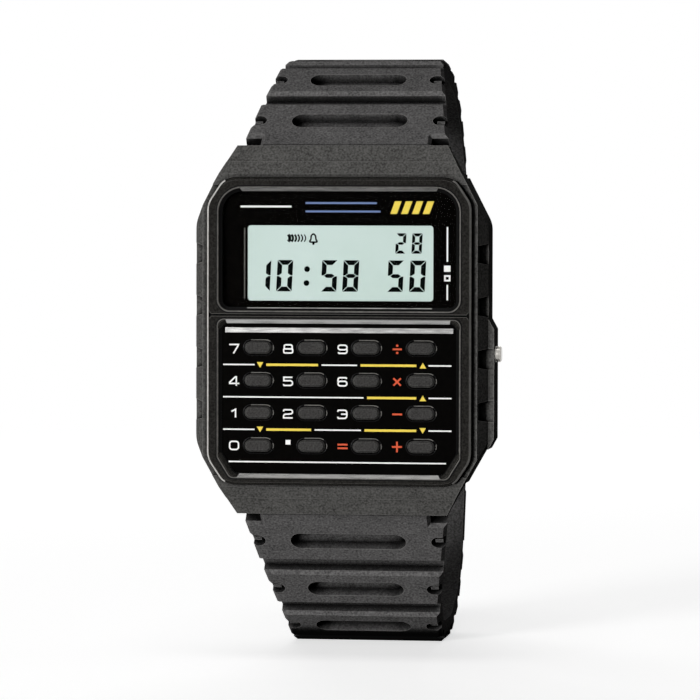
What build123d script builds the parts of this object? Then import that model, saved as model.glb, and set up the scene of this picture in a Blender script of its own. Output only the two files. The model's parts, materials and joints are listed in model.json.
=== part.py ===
from build123d import *
from math import atan2, cos, degrees, radians, sin
import os

os.makedirs("parts", exist_ok=True)

# Calculator watch, standing on its closed strap as on a display cuff.
# +X is the wearer's 3 o'clock side, +Z is 12 o'clock, and the face looks along -Y.
# The origin is on the flat outer face of the lowest strap link, between its recess and its front edge.
# Depth is measured along +Y from the front face of the bezel, height from the case centre.

# Case
case_width = 34.5
case_length = 43.2
case_thickness = 8.2
side_top = 12.5
side_bottom = 13.0
end_height = 17.8
lug_end_width = 24.8
shoulder_radius = 3.0
rim_depth = 0.9
side_front = 2.8
side_back = 7.2
back_rim_depth = 7.8
front_slope = 1.1
back_slope = 0.6
edge_break = 0.25
overrun = 2.0
clearance = 0.05
seat_gap = 0.1

# Lug covers and ears
cover_root = 17.0
cover_front = 0.75
cover_start = 18.3
ridge_height = 19.7
ridge_depth = 1.62
ridge_step = 0.2
cover_tip_depth = 3.0
cover_underside = 4.2
ear_width = 2.0
ear_radius = 1.35
ear_gap = 0.2
bar_depth = 6.5
bar_height = 20.2
bar_radius = 0.7
bar_pin_radius = 0.4
bar_pin_length = 1.4

# Side notches and the guard round the pushers
notch_count = 4
notch_pitch = 6.1
notch_centre = -0.2
notch_length = 2.5
notch_angle = 82.0
notch_sink = 1.05
notch_front = 0.9
notch_back = 3.0
guard_top = 0.2
guard_bottom = -12.6
guard_proud = 0.66
guard_slope = 1.2

# Cavity
case_wall = 3.5
cavity_width = case_width - 2 * case_wall
cavity_height = 30.0
cavity_corner = 3.0

# Bezel
bezel_margin = 1.7
bezel_width = case_width - 2 * bezel_margin
bezel_height = 35.8
bezel_centre = -0.1
bezel_depth = 1.8
bezel_corner_width = 2.0
bezel_corner_height = 3.0
bezel_corner_radius = 2.8
lip = 0.5
lip_depth = 0.4
divider_height = 1.8
divider_width = 0.25
divider_depth = 0.3
divider_nick = 0.7

# Display window, lens and cell
bezel_rail = 1.8
window_width = bezel_width - 2 * bezel_rail
window_height = 13.5
window_centre = 9.47
window_top_radius = 2.4
window_bottom_radius = 0.9
ledge = 0.5
lens_front = 0.4
lens_thickness = 0.9
print_gap = 0.03
mask_thickness = 0.1
screen_width = 21.9
screen_height = 8.8
screen_centre = 7.86
screen_radius = 0.4
cell_width = 23.6
cell_height = 10.4
cell_centre = 8.4
cell_front = 1.45
cell_thickness = 1.2
cell_step = 1.2
reflector_thickness = 0.1
reflector_margin = 0.8
zebra_width = 21.0
zebra_height = 1.2
zebra_inset = 0.4

# Keypad window, panel and keys
keypad_height = 17.5
keypad_centre = -7.95
keypad_top_radius = 0.8
keypad_corner_width = 1.5
keypad_corner_height = 2.4
panel_front = 0.5
panel_thickness = 0.8
strip_margin = 0.35
strip_width = window_width - 2 * strip_margin
strip_height = 0.58
strip_thickness = 0.12
strip_centre = 0.05
key_columns = (-9.47, -3.16, 3.25, 9.69)
key_rows = (-2.0, -5.82, -9.59, -13.45)
key_names = (
    ("7", "8", "9", "divide"),
    ("4", "5", "6", "multiply"),
    ("1", "2", "3", "minus"),
    ("0", "point", "equals", "plus"),
)
key_width = 3.15
key_height = 1.4
key_bevel = 0.22
bevel_angle = 45.0
key_proud = 0.55
key_flange = 0.3
key_flange_thickness = 0.4
key_travel = 0.35
key_side_gap = 0.07

# Board, membrane and the rest of the module
board_front = 3.6
board_thickness = 0.6
board_gap = 0.6
board_height = 28.0
board_corner = 1.8
membrane_thickness = 0.3
membrane_width = 24.0
membrane_height = 13.7
membrane_corner = 1.3
membrane_centre = -7.1
dome_width = 2.2
dome_height = 0.8
dome_taper = 8.0
frame_gap = 0.7
frame_width = cavity_width - 2 * frame_gap
board_width = frame_width - 2 * board_gap
frame_height = 29.2
frame_corner = 2.2
frame_wall = 0.5
frame_front = 2.75
frame_back = 6.4
deck_thickness = 0.5
deck_window_width = 22.0
deck_window_top = 13.4
battery_radius = 10.0
battery_thickness = 1.6
battery_centre = -3.3
battery_step = 0.6
battery_lip = 0.3
pocket_gap = 0.15
pocket_wall = 0.5
contact_width = 6.0
contact_height = 2.0
contact_leg = 1.0
contact_wall = 0.15
clip_height = 4.0
clip_thickness = 0.2
clip_span = 22.0
chip_size = 5.0
chip_thickness = 0.8
chip_place = (-5.0, 10.4)
lead_count = 8
lead_width = 0.25
lead_reach = 0.4
lead_thickness = 0.15
crystal_radius = 0.75
crystal_length = 4.6
crystal_place = (5.6, 11.6)
capacitor_size = (1.6, 0.8, 0.7)
capacitor_places = ((3.6, 8.9), (6.2, 8.9), (8.8, 8.9))
sheet_thickness = 0.1
sheet_gap = 0.1
buzzer_radius = 7.6
buzzer_thickness = 0.25
buzzer_centre = 5.0
buzzer_rim = 1.2
contact_spring_place = (0.6, 10.6)
contact_spring_radius = 0.75
contact_wire = 0.12
contact_turns = 5

# Case back
back_front = 7.2
back_margin = 2.2
back_width = case_width - 2 * back_margin
back_height = 32.8
back_corner = 2.0
back_step = 0.3
back_panel_margin = 2.6
gasket_offset = 0.15
gasket_width = 0.35
gasket_depth = 0.45
screw_inset = 1.9
screw_inset_up = 1.8
screw_across = back_width - 2 * screw_inset
screw_up = back_height - 2 * screw_inset_up
screw_head_radius = 1.1
screw_head_depth = 0.6
screw_radius = 0.6
screw_length = 2.4
screw_slot_width = 0.3
screw_slot_depth = 0.3

# Pushers
pusher_depth = 4.3
pusher_height = -2.7
pusher_radius = 0.95
pusher_proud = 1.4
pusher_tip = case_width / 2 + pusher_proud
pusher_cap_length = 1.5
pusher_travel = 0.5
pusher_rib = 0.16
pusher_rib_depth = 0.09
flush_height = -9.87
flush_radius = 0.72
flush_proud = 0.3
flush_tip = case_width / 2 + flush_proud
flush_cap_length = 0.9
shaft_radius = 0.45
shaft_reach = 0.5
shaft_end = cavity_width / 2 - shaft_reach
shaft_groove = 0.15
bore_gap = 0.05
spring_space = 1.5
seal_inset = 0.7
seal_start = cavity_width / 2 + seal_inset
seal_length = 0.5
seal_radius = 0.85
seal_gap = 0.02
retainer_radius = 0.85
retainer_thickness = 0.2
spring_radius = 0.68
spring_wire = 0.09
spring_turns = 3
leaf_thickness = 0.12
leaf_gap = 0.03
leaf_height = 2.4
leaf_length = 1.3

# Strap
strap_thickness = 2.6
strap_web = 1.3
strap_end_width = 18.6
strap_taper_length = 22.0
link_length = 6.4
first_link_length = 8.8
groove_length = 2.2
link_bevel = 0.4
strap_start_depth = 5.0
strap_start_height = 21.6
upper_headings = (36, 32, 31, 18, 4, -4, -12, -21, -31, -41, -50, -58, -66, -75, -90, -90, -90)
lower_headings = (45, 43, 41, 37, 31, 16, 0, -9, -21, -35, -49, -61, -72, -80, -89, -92, -95, -96, -96)
tail_length = 6.0
barrel_radius = 1.5
barrel_gap = 0.06
slot_first_length = 13.8
slot_length = 11.6
slot_height = 2.7
slot_shift = 0.7
slot_depth = 1.1
edge_notch_depth = 1.8
edge_notch_height = 1.9
edge_notch_cut = 1.0
edge_rib_width = 0.9
edge_rib_height = 0.6
edge_rib_drop = 0.35
tongue_length = 2.0
slotted_links = 6
prong_slot = 3.0
hole_radius = 1.0

# Buckle, prong and keeper
buckle_bar_radius = 0.6
buckle_bar_pin_radius = 0.35
buckle_barrel_radius = 1.25
buckle_bar_drop = 1.3
buckle_wire = 1.8
buckle_thickness = 1.6
buckle_side_gap = 0.4
buckle_inner_width = strap_end_width + 2 * buckle_side_gap
buckle_reach = 9.4
buckle_corner = 1.6
buckle_round = 0.5
buckle_ear = 1.0
buckle_ear_wall = 0.55
buckle_pin_gap = 0.45
prong_width = 1.8
prong_thickness = 0.9
prong_gap = 0.25
prong_eye_radius = 1.05
keeper_width = 4.2
keeper_wall = 1.0
keeper_gap = 0.3
keeper_rest = 1.9
keeper_link = 14


def walk(start, lengths, headings, side):
    """Corners of a chain of straight runs, each rising or falling at its heading."""
    points = [start]
    for length, heading in zip(lengths, headings):
        depth, height = points[-1]
        slope = radians(heading)
        points.append((depth + length * cos(slope), height + side * length * sin(slope)))
    return points


def run_lengths(headings, last):
    """Links and grooves in turn, with a longer first link."""
    lengths = [link_length if k % 2 == 0 else groove_length for k in range(len(headings))]
    lengths[0] = first_link_length
    lengths[-1] = last
    return lengths


upper_lengths = run_lengths(upper_headings, link_length)
lower_lengths = run_lengths(lower_headings, tail_length)
upper_chain = walk((strap_start_depth, strap_start_height), upper_lengths, upper_headings, 1)
lower_chain = walk((strap_start_depth, -strap_start_height), lower_lengths, lower_headings, -1)

# The lowest link lies flat, and the origin is on it, midway between its recess and its front bevel
foot = lower_headings.index(0)
foot_depth = lower_chain[foot][0] + ((link_length - slot_height) / 2 + link_bevel) / 2
case_height = -lower_chain[foot][1]


def face(depth):
    """Plane parallel to the watch's face, seen from the front."""
    return Plane(origin=(0, depth - foot_depth, case_height), x_dir=(1, 0, 0), z_dir=(0, -1, 0))


def side_point(depth, height):
    """Depth and height from the case, as a point of a sketch on Plane.YZ."""
    return (depth - foot_depth, height + case_height)


def across(x, depth, height):
    """Plane square to the X axis, centred on a place of the case."""
    return Plane(origin=(x, depth - foot_depth, height + case_height), x_dir=(0, 1, 0), z_dir=(1, 0, 0))


def cut_corners(width, height, corner_x, corner_z):
    """Corners of a rectangle about its centre with its corners cut off."""
    w, h = width / 2, height / 2
    quarter = [(w, h - corner_z), (w - corner_x, h)]
    return (quarter + [(-x, z) for x, z in reversed(quarter)]
            + [(-x, -z) for x, z in quarter] + [(x, -z) for x, z in reversed(quarter)])


# Case body: one moulding with the lug covers, the ears for the strap and the pusher guard
half_width = case_width / 2
lug_run = (half_width - lug_end_width / 2) / (case_length / 2 - side_bottom)
end_half_width = half_width - (end_height - side_bottom) * lug_run
cover_root_half = half_width - (cover_root - side_bottom) * lug_run
lug_tip = case_length / 2
ear_inner = lug_end_width / 2 - seat_gap - ear_width
pusher_places = (
    (pusher_height, pusher_radius, pusher_tip - pusher_cap_length - spring_space),
    (flush_height, flush_radius, flush_tip - flush_cap_length - spring_space),
)
turn = 90
notch_heights = [notch_centre + notch_pitch * (k - (notch_count - 1) / 2) for k in range(notch_count)]

with BuildPart() as case_body:
    with BuildSketch(face(side_front)) as outline:
        with BuildLine():
            Polyline(
                (half_width, -side_bottom), (half_width, side_top), (end_half_width, end_height),
                (-end_half_width, end_height), (-half_width, side_top), (-half_width, -side_bottom),
                (-end_half_width, -end_height), (end_half_width, -end_height), close=True,
            )
        make_face()
        for middle in (half_width, -half_width):
            shoulders = outline.vertices().filter_by_position(Axis.X, middle - clearance, middle + clearance)
            fillet(shoulders, shoulder_radius)
    extrude(amount=side_front - side_back)
    extrude(outline.sketch, amount=side_front - rim_depth)

    # The long sides slope in towards the front rim
    for side in (1, -1):
        with BuildSketch(Plane.XY.offset(case_height)):
            with BuildLine():
                Polyline(
                    (side * half_width, side_front - foot_depth),
                    (side * (half_width - front_slope), rim_depth - foot_depth),
                    (side * (half_width - front_slope), -foot_depth),
                    (side * (half_width + overrun), -foot_depth),
                    (side * (half_width + overrun), side_front - foot_depth),
                    close=True,
                )
            make_face()
        extrude(amount=case_length / 2, both=True, mode=Mode.SUBTRACT)
    with BuildSketch(face(side_back)):
        add(outline.sketch_local)
    extrude(amount=side_back - back_rim_depth,
            taper=degrees(atan2(back_slope, back_rim_depth - side_back)))

    # Lug covers, sloped in two bands with a step between them
    for end in (1, -1):
        with BuildSketch(face(cover_underside)):
            with BuildLine():
                Polyline(
                    (cover_root_half, end * cover_root), (lug_end_width / 2, end * lug_tip),
                    (-lug_end_width / 2, end * lug_tip), (-cover_root_half, end * cover_root), close=True,
                )
            make_face()
        extrude(amount=cover_underside - cover_front)
        with BuildSketch(Plane.YZ):
            with BuildLine():
                Polyline(
                    side_point(cover_front - overrun, end * cover_start),
                    side_point(cover_front, end * cover_start),
                    side_point(ridge_depth, end * ridge_height),
                    side_point(ridge_depth + ridge_step, end * ridge_height),
                    side_point(cover_tip_depth, end * lug_tip),
                    side_point(cover_tip_depth, end * (lug_tip + overrun)),
                    side_point(cover_front - overrun, end * (lug_tip + overrun)),
                    close=True,
                )
            make_face()
        extrude(amount=case_width / 2, both=True, mode=Mode.SUBTRACT)

        # Ears that hold the spring bar
        for side in (1, -1):
            ear_face = ear_inner if side > 0 else -ear_inner - ear_width
            with BuildSketch(across(ear_face, 0, 0)):
                with BuildLine():
                    Polyline(
                        (cover_underside - clearance, end * cover_root),
                        (cover_underside - clearance, end * bar_height),
                        (bar_depth - ear_radius, end * bar_height),
                        (bar_depth + ear_radius, end * bar_height),
                        (bar_depth + ear_radius, end * cover_root), close=True,
                    )
                make_face()
                with Locations((bar_depth, end * bar_height)):
                    Circle(ear_radius)
            extrude(amount=ear_width)

    # Guard beside the pushers
    with BuildSketch(face(side_front)):
        with BuildLine():
            Polyline(
                (half_width - guard_slope, guard_top + guard_slope), (half_width, guard_top + guard_slope),
                (half_width + guard_proud, guard_top), (half_width + guard_proud, guard_bottom),
                (half_width, guard_bottom - guard_slope),
                (half_width - guard_slope, guard_bottom - guard_slope),
                close=True,
            )
        make_face()
    extrude(amount=side_front - side_back)

    # Cavity for the module, and the seats for the bezel and the case back
    with BuildSketch(face(bezel_depth)):
        Polygon(*cut_corners(cavity_width, cavity_height, cavity_corner, cavity_corner), align=None)
    extrude(amount=bezel_depth - case_thickness, mode=Mode.SUBTRACT)
    with BuildSketch(face(bezel_depth)) as bezel_seat:
        with Locations((0, bezel_centre)):
            Polygon(*cut_corners(bezel_width + 2 * seat_gap, bezel_height + 2 * seat_gap,
                                 bezel_corner_width, bezel_corner_height), align=None)
        fillet(bezel_seat.vertices(), bezel_corner_radius)
    extrude(amount=bezel_depth, mode=Mode.SUBTRACT)
    with BuildSketch(face(back_front)):
        Polygon(*cut_corners(back_width + 2 * seat_gap, back_height + 2 * seat_gap,
                             back_corner, back_corner), align=None)
    extrude(amount=back_front - case_thickness, mode=Mode.SUBTRACT)

    # Groove for the gasket and threaded holes for the back's screws
    with BuildSketch(face(back_front - gasket_depth)):
        outer_offset = 2 * (gasket_offset + gasket_width + clearance)
        inner_offset = 2 * (gasket_offset - clearance)
        Polygon(*cut_corners(cavity_width + outer_offset, cavity_height + outer_offset,
                             cavity_corner, cavity_corner), align=None)
        Polygon(*cut_corners(cavity_width + inner_offset, cavity_height + inner_offset,
                             cavity_corner, cavity_corner), align=None, mode=Mode.SUBTRACT)
    extrude(amount=-gasket_depth, mode=Mode.SUBTRACT)
    screw_end = back_front - screw_length
    with BuildSketch(face(screw_end)):
        with GridLocations(screw_across, screw_up, 2, 2):
            Circle(screw_radius + clearance)
    extrude(amount=screw_end - back_front, mode=Mode.SUBTRACT)

    # Notches along both long sides
    for side in (1, -1):
        for height in notch_heights:
            with BuildSketch(across(side * half_width, (notch_front + notch_back) / 2, height)):
                Trapezoid(notch_length, notch_back - notch_front, notch_angle, rotation=turn)
            extrude(amount=notch_sink, both=True, mode=Mode.SUBTRACT)

    # Holes for the pushers: a bore through the wall, a seat for the seal and a counterbore
    for height, radius, floor in pusher_places:
        with BuildSketch(across(cavity_width / 2 - overrun, pusher_depth, height)):
            Circle(shaft_radius + bore_gap)
        extrude(amount=case_width / 2, mode=Mode.SUBTRACT)
        with BuildSketch(across(seal_start, pusher_depth, height)):
            Circle(seal_radius)
        extrude(amount=seal_length, mode=Mode.SUBTRACT)
        with BuildSketch(across(floor, pusher_depth, height)):
            Circle(radius + key_side_gap)
        extrude(amount=case_width / 2, mode=Mode.SUBTRACT)

    # Blind holes in the ears for the pins of the spring bars
    for end in (1, -1):
        with BuildSketch(across(-ear_inner - bar_pin_length - clearance, bar_depth, end * bar_height)):
            Circle(bar_pin_radius + clearance)
        extrude(amount=2 * (ear_inner + bar_pin_length + clearance), mode=Mode.SUBTRACT)
case_body.part.label = "case_body"
export_step(case_body.part, "parts/case_body.step")


def window_polygon(width, height, corner_x, corner_z):
    """Outline with plain upper corners and cut lower corners."""
    w, h = width / 2, height / 2
    return [(w, h), (-w, h), (-w, corner_z - h), (corner_x - w, -h), (w - corner_x, -h), (w, corner_z - h)]


def display_outline(grow):
    """Display window, wider by grow on every side, with its upper corners rounder."""
    with BuildSketch(mode=Mode.PRIVATE) as window:
        with Locations((0, window_centre)):
            Rectangle(window_width + 2 * grow, window_height + 2 * grow)
        fillet(window.vertices().group_by(Axis.Y)[-1], window_top_radius + grow)
        fillet(window.vertices().group_by(Axis.Y)[0], window_bottom_radius + grow)
    return window.sketch


def keypad_outline(grow):
    """Keypad window, wider by grow on every side, with its lower corners cut."""
    with BuildSketch(mode=Mode.PRIVATE) as window:
        with Locations((0, keypad_centre)):
            Polygon(*window_polygon(window_width + 2 * grow, keypad_height + 2 * grow,
                                    keypad_corner_width, keypad_corner_height), align=None)
        fillet(window.vertices(), keypad_top_radius)
    return window.sketch


# Bezel: the raised front frame, with a window for the display and one for the keypad
mask_back = lens_front + lens_thickness + print_gap + mask_thickness
with BuildPart() as front_bezel:
    with BuildSketch(face(bezel_depth)) as bezel_outline:
        with Locations((0, bezel_centre)):
            Polygon(*cut_corners(bezel_width, bezel_height, bezel_corner_width, bezel_corner_height),
                    align=None)
        fillet(bezel_outline.vertices(), bezel_corner_radius)
    extrude(amount=bezel_depth)
    chamfer(front_bezel.faces().sort_by(Axis.Y)[0].edges(), edge_break)
    for window in (display_outline, keypad_outline):
        with BuildSketch(face(bezel_depth)):
            add(window(-ledge))
        extrude(amount=bezel_depth + overrun, mode=Mode.SUBTRACT)
        with BuildSketch(face(mask_back)):
            add(window(0))
        extrude(amount=bezel_depth, mode=Mode.SUBTRACT)
        with BuildSketch(face(lip_depth)):
            add(window(0))
        extrude(amount=lip_depth, taper=-degrees(atan2(lip, lip_depth)), mode=Mode.SUBTRACT)
    with BuildSketch(face(divider_depth)):
        with Locations((0, divider_height)):
            Rectangle(bezel_width + overrun, divider_width)
        for side in (1, -1):
            with BuildLine():
                Polyline(
                    (side * (bezel_width / 2 + overrun), divider_height - divider_nick - overrun),
                    (side * (bezel_width / 2 + overrun), divider_height + divider_nick + overrun),
                    (side * (bezel_width / 2 - divider_nick), divider_height), close=True,
                )
            make_face()
    extrude(amount=divider_depth + overrun, mode=Mode.SUBTRACT)
front_bezel.part.label = "front_bezel"
export_step(front_bezel.part, "parts/front_bezel.step")

# Display window: clear lens over a black mask with the opening of the screen
with BuildPart() as display_lens:
    with BuildSketch(face(lens_front + lens_thickness)):
        add(display_outline(-clearance))
    extrude(amount=lens_thickness)
    chamfer(display_lens.faces().sort_by(Axis.Y)[0].edges(), clearance)
display_lens.part.label = "display_lens"
export_step(display_lens.part, "parts/display_lens.step")

with BuildPart() as display_mask:
    with BuildSketch(face(mask_back)) as mask_outline:
        add(display_outline(-clearance))
        with Locations((0, screen_centre)):
            RectangleRounded(screen_width, screen_height, screen_radius, mode=Mode.SUBTRACT)
    extrude(amount=mask_thickness)
display_mask.part.label = "display_mask"
export_step(display_mask.part, "parts/display_mask.step")

# Liquid crystal cell: the front glass is shorter than the back glass, which carries the contacts
cell_back = cell_front + cell_thickness
with BuildPart() as lcd_cell:
    with BuildSketch(face(cell_back)):
        with Locations((0, cell_centre)):
            Rectangle(cell_width, cell_height)
    extrude(amount=cell_thickness / 2)
    with BuildSketch(face(cell_back - cell_thickness / 2)):
        with Locations((0, cell_centre)):
            Rectangle(cell_width - 2 * clearance, cell_height - cell_step)
    extrude(amount=cell_thickness / 2)
lcd_cell.part.label = "lcd_cell"
export_step(lcd_cell.part, "parts/lcd_cell.step")

with BuildPart() as lcd_reflector:
    with BuildSketch(face(cell_back + reflector_thickness)):
        with Locations((0, cell_centre)):
            Rectangle(cell_width - 2 * reflector_margin, cell_height - 2 * zebra_inset - 2 * zebra_height)
    extrude(amount=reflector_thickness)
lcd_reflector.part.label = "lcd_reflector"
export_step(lcd_reflector.part, "parts/lcd_reflector.step")

# Striped rubber connectors between the cell and the board
with BuildPart() as zebra_connectors:
    zebra_reach = cell_height / 2 - zebra_inset - zebra_height / 2 + clearance
    with BuildSketch(face(board_front)):
        for end in (1, -1):
            with Locations((0, cell_centre + end * zebra_reach)):
                Rectangle(zebra_width, zebra_height)
    extrude(amount=board_front - cell_back)
zebra_connectors.part.label = "zebra_connectors"
export_step(zebra_connectors.part, "parts/zebra_connectors.step")

# Keypad panel with a bright inlaid strip and a hole for each key
panel_back = panel_front + panel_thickness
key_places = [(x, z) for z in key_rows for x in key_columns]
with BuildPart() as keypad_panel:
    with BuildSketch(face(panel_back)):
        add(keypad_outline(-clearance))
    extrude(amount=panel_thickness)
    with BuildSketch(face(panel_back)):
        with Locations(*key_places):
            SlotOverall(key_width + 2 * key_side_gap, key_height + 2 * key_side_gap)
    extrude(amount=panel_thickness, mode=Mode.SUBTRACT)
keypad_panel.part.label = "keypad_panel"
export_step(keypad_panel.part, "parts/keypad_panel.step")

with BuildPart() as keypad_strip:
    with BuildSketch(face(panel_front)):
        with Locations((0, strip_centre)):
            Rectangle(strip_width, strip_height)
    extrude(amount=strip_thickness)
keypad_strip.part.label = "keypad_strip"
export_step(keypad_strip.part, "parts/keypad_strip.step")

# Keys: a rounded cap that stands out of the panel, on a flange that holds it in
flange_front = panel_back + clearance
key_front = panel_front - key_proud
for row, names in enumerate(key_names):
    for column, name in enumerate(names):
        with BuildPart() as key:
            with BuildSketch(face(flange_front + key_flange_thickness)):
                with Locations((key_columns[column], key_rows[row])):
                    SlotOverall(key_width + 2 * key_flange, key_height + 2 * key_flange)
            extrude(amount=key_flange_thickness)
            with BuildSketch(face(flange_front)) as cap:
                with Locations((key_columns[column], key_rows[row])):
                    SlotOverall(key_width, key_height)
            extrude(amount=flange_front - key_front - key_bevel)
            with BuildSketch(face(key_front + key_bevel)):
                add(cap.sketch_local)
            extrude(amount=key_bevel, taper=bevel_angle)
        key.part.label = "key_" + name
        export_step(key.part, "parts/key_" + name + ".step")

# Rubber membrane with a dome under each key
membrane_front = board_front - membrane_thickness
dome_top = flange_front + key_flange_thickness + key_travel + clearance
with BuildPart() as keypad_membrane:
    with BuildSketch(face(board_front)):
        with Locations((0, membrane_centre)):
            Polygon(*cut_corners(membrane_width, membrane_height, membrane_corner, membrane_corner),
                    align=None)
    extrude(amount=membrane_thickness)
    with BuildSketch(face(membrane_front)):
        with Locations(*key_places):
            SlotOverall(dome_width, dome_height)
    extrude(amount=membrane_front - dome_top, taper=dome_taper)
keypad_membrane.part.label = "keypad_membrane"
export_step(keypad_membrane.part, "parts/keypad_membrane.step")

# Circuit board and what is soldered to its back
board_back = board_front + board_thickness
with BuildPart() as circuit_board:
    with BuildSketch(face(board_back)):
        Polygon(*cut_corners(board_width, board_height, board_corner, board_corner), align=None)
    extrude(amount=board_thickness)
circuit_board.part.label = "circuit_board"
export_step(circuit_board.part, "parts/circuit_board.step")

with BuildPart() as watch_chip:
    with BuildSketch(face(board_back)):
        with Locations(chip_place):
            RectangleRounded(chip_size, chip_size, clearance)
    extrude(amount=-chip_thickness)
    with BuildSketch(face(board_back)):
        with Locations(chip_place):
            for quarter in (0, turn):
                with Locations(Rotation(0, 0, quarter)):
                    with GridLocations(chip_size + lead_reach, chip_size / (lead_count + 1), 2, lead_count):
                        Rectangle(lead_reach, lead_width)
    extrude(amount=-lead_thickness)
watch_chip.part.label = "watch_chip"
export_step(watch_chip.part, "parts/watch_chip.step")

with BuildPart() as quartz_crystal:
    crystal_x, crystal_z = crystal_place
    with BuildSketch(across(crystal_x - crystal_length / 2, board_back + crystal_radius, crystal_z)):
        Circle(crystal_radius)
    extrude(amount=crystal_length)
    chamfer(quartz_crystal.edges().filter_by(GeomType.CIRCLE), clearance)
quartz_crystal.part.label = "quartz_crystal"
export_step(quartz_crystal.part, "parts/quartz_crystal.step")

with BuildPart() as chip_capacitors:
    with BuildSketch(face(board_back)):
        with Locations(*capacitor_places):
            Rectangle(capacitor_size[0], capacitor_size[1])
    extrude(amount=-capacitor_size[2])
chip_capacitors.part.label = "chip_capacitors"
export_step(chip_capacitors.part, "parts/chip_capacitors.step")

# Module frame: a wall round the board and a deck behind it with a ring for the battery
deck_back = board_back + deck_thickness
pocket_radius = battery_radius + pocket_gap
pocket_top = battery_centre + pocket_radius + pocket_wall
inner_width = frame_width - 2 * frame_wall
inner_height = frame_height - 2 * frame_wall
with BuildPart() as module_frame:
    with BuildSketch(face(frame_back)) as frame_wall_outline:
        Polygon(*cut_corners(frame_width, frame_height, frame_corner, frame_corner), align=None)
        Polygon(*cut_corners(inner_width, inner_height, board_corner, board_corner), align=None,
                mode=Mode.SUBTRACT)
    extrude(amount=frame_back - frame_front)
    with BuildSketch(face(deck_back)):
        Polygon(*cut_corners(frame_width, frame_height, frame_corner, frame_corner), align=None)
        with Locations((0, (pocket_top + deck_window_top) / 2)):
            Rectangle(deck_window_width, deck_window_top - pocket_top, mode=Mode.SUBTRACT)
        with Locations((0, battery_centre)):
            Rectangle(contact_width + 2 * pocket_gap, contact_height + 2 * pocket_gap, mode=Mode.SUBTRACT)
    extrude(amount=deck_thickness - seat_gap / 2)
    with BuildSketch(face(deck_back)):
        with Locations((0, battery_centre)):
            Circle(pocket_radius + pocket_wall)
            Circle(pocket_radius, mode=Mode.SUBTRACT)
    extrude(amount=-battery_thickness)
    with BuildSketch(face(frame_front)):
        for height, _, _ in pusher_places:
            with Locations((frame_width / 2, height)):
                Rectangle(2 * frame_wall + 2 * pocket_gap, leaf_height + 2 * pocket_gap)
    extrude(amount=frame_front - frame_back, mode=Mode.SUBTRACT)
module_frame.part.label = "module_frame"
export_step(module_frame.part, "parts/module_frame.step")

# Coin cell, its two contacts and the insulating sheet over them
battery_front = deck_back + clearance
battery_back = battery_front + battery_thickness
with BuildPart() as battery:
    with BuildSketch(face(battery_front)):
        with Locations((0, battery_centre)):
            Circle(battery_radius - battery_step)
    extrude(amount=-battery_lip)
    with BuildSketch(face(battery_front + battery_lip)):
        with Locations((0, battery_centre)):
            Circle(battery_radius)
    extrude(amount=battery_lip - battery_thickness)
    chamfer(battery.faces().sort_by(Axis.Y)[-1].edges(), battery_lip / 2)
battery.part.label = "battery"
export_step(battery.part, "parts/battery.step")

with BuildPart() as battery_contact:
    with BuildSketch(face(board_back)):
        with Locations((0, battery_centre)):
            Rectangle(contact_width, contact_height)
    extrude(amount=-contact_wall)
    with BuildSketch(face(battery_front)):
        for side in (1, -1):
            with Locations((side * (contact_width - contact_leg) / 2, battery_centre)):
                Rectangle(contact_leg, contact_height)
    extrude(amount=battery_front - board_back)
battery_contact.part.label = "battery_contact"
export_step(battery_contact.part, "parts/battery_contact.step")

with BuildPart() as battery_clip:
    with BuildSketch(face(battery_back + clip_thickness)):
        with Locations((0, battery_centre)):
            Rectangle(clip_span, clip_height)
    extrude(amount=clip_thickness)
    with BuildSketch(face(battery_back + clip_thickness)):
        for side in (1, -1):
            with Locations((side * (clip_span - clip_thickness) / 2, battery_centre)):
                Rectangle(clip_thickness, clip_height)
    extrude(amount=battery_back + clip_thickness - deck_back)
battery_clip.part.label = "battery_clip"
export_step(battery_clip.part, "parts/battery_clip.step")

sheet_front = battery_back + clip_thickness + sheet_gap
spring_x, spring_z = contact_spring_place
with BuildPart() as insulator_sheet:
    with BuildSketch(face(sheet_front + sheet_thickness)):
        Polygon(*cut_corners(inner_width, inner_height, frame_corner, frame_corner), align=None)
        with Locations(contact_spring_place):
            Circle(contact_spring_radius + pocket_wall, mode=Mode.SUBTRACT)
    extrude(amount=sheet_thickness)
insulator_sheet.part.label = "insulator_sheet"
export_step(insulator_sheet.part, "parts/insulator_sheet.step")

# Piezo disc on the case back and the small spring that feeds it from the board
with BuildPart() as piezo_buzzer:
    with BuildSketch(face(back_front)):
        with Locations((0, buzzer_centre)):
            Circle(buzzer_radius)
    extrude(amount=buzzer_thickness / 2)
    with BuildSketch(face(back_front)):
        with Locations((0, buzzer_centre)):
            Circle(buzzer_radius - buzzer_rim)
    extrude(amount=buzzer_thickness)
piezo_buzzer.part.label = "piezo_buzzer"
export_step(piezo_buzzer.part, "parts/piezo_buzzer.step")

buzzer_front = back_front - buzzer_thickness
spring_run = buzzer_front - board_back - 2 * contact_wire
with BuildPart() as buzzer_spring:
    with BuildLine() as coil:
        Helix(spring_run / contact_turns, spring_run, contact_spring_radius)
    with BuildSketch(Plane(origin=coil.line @ 0, z_dir=coil.line % 0)):
        Circle(contact_wire)
    sweep(path=coil.line, is_frenet=True)
buzzer_spring_seat = Plane(origin=(spring_x, board_back + contact_wire - foot_depth, spring_z + case_height),
                           x_dir=(1, 0, 0), z_dir=(0, 1, 0))
buzzer_spring_part = buzzer_spring_seat.location * buzzer_spring.part
buzzer_spring_part.label = "buzzer_spring"
export_step(buzzer_spring_part, "parts/buzzer_spring.step")

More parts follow.
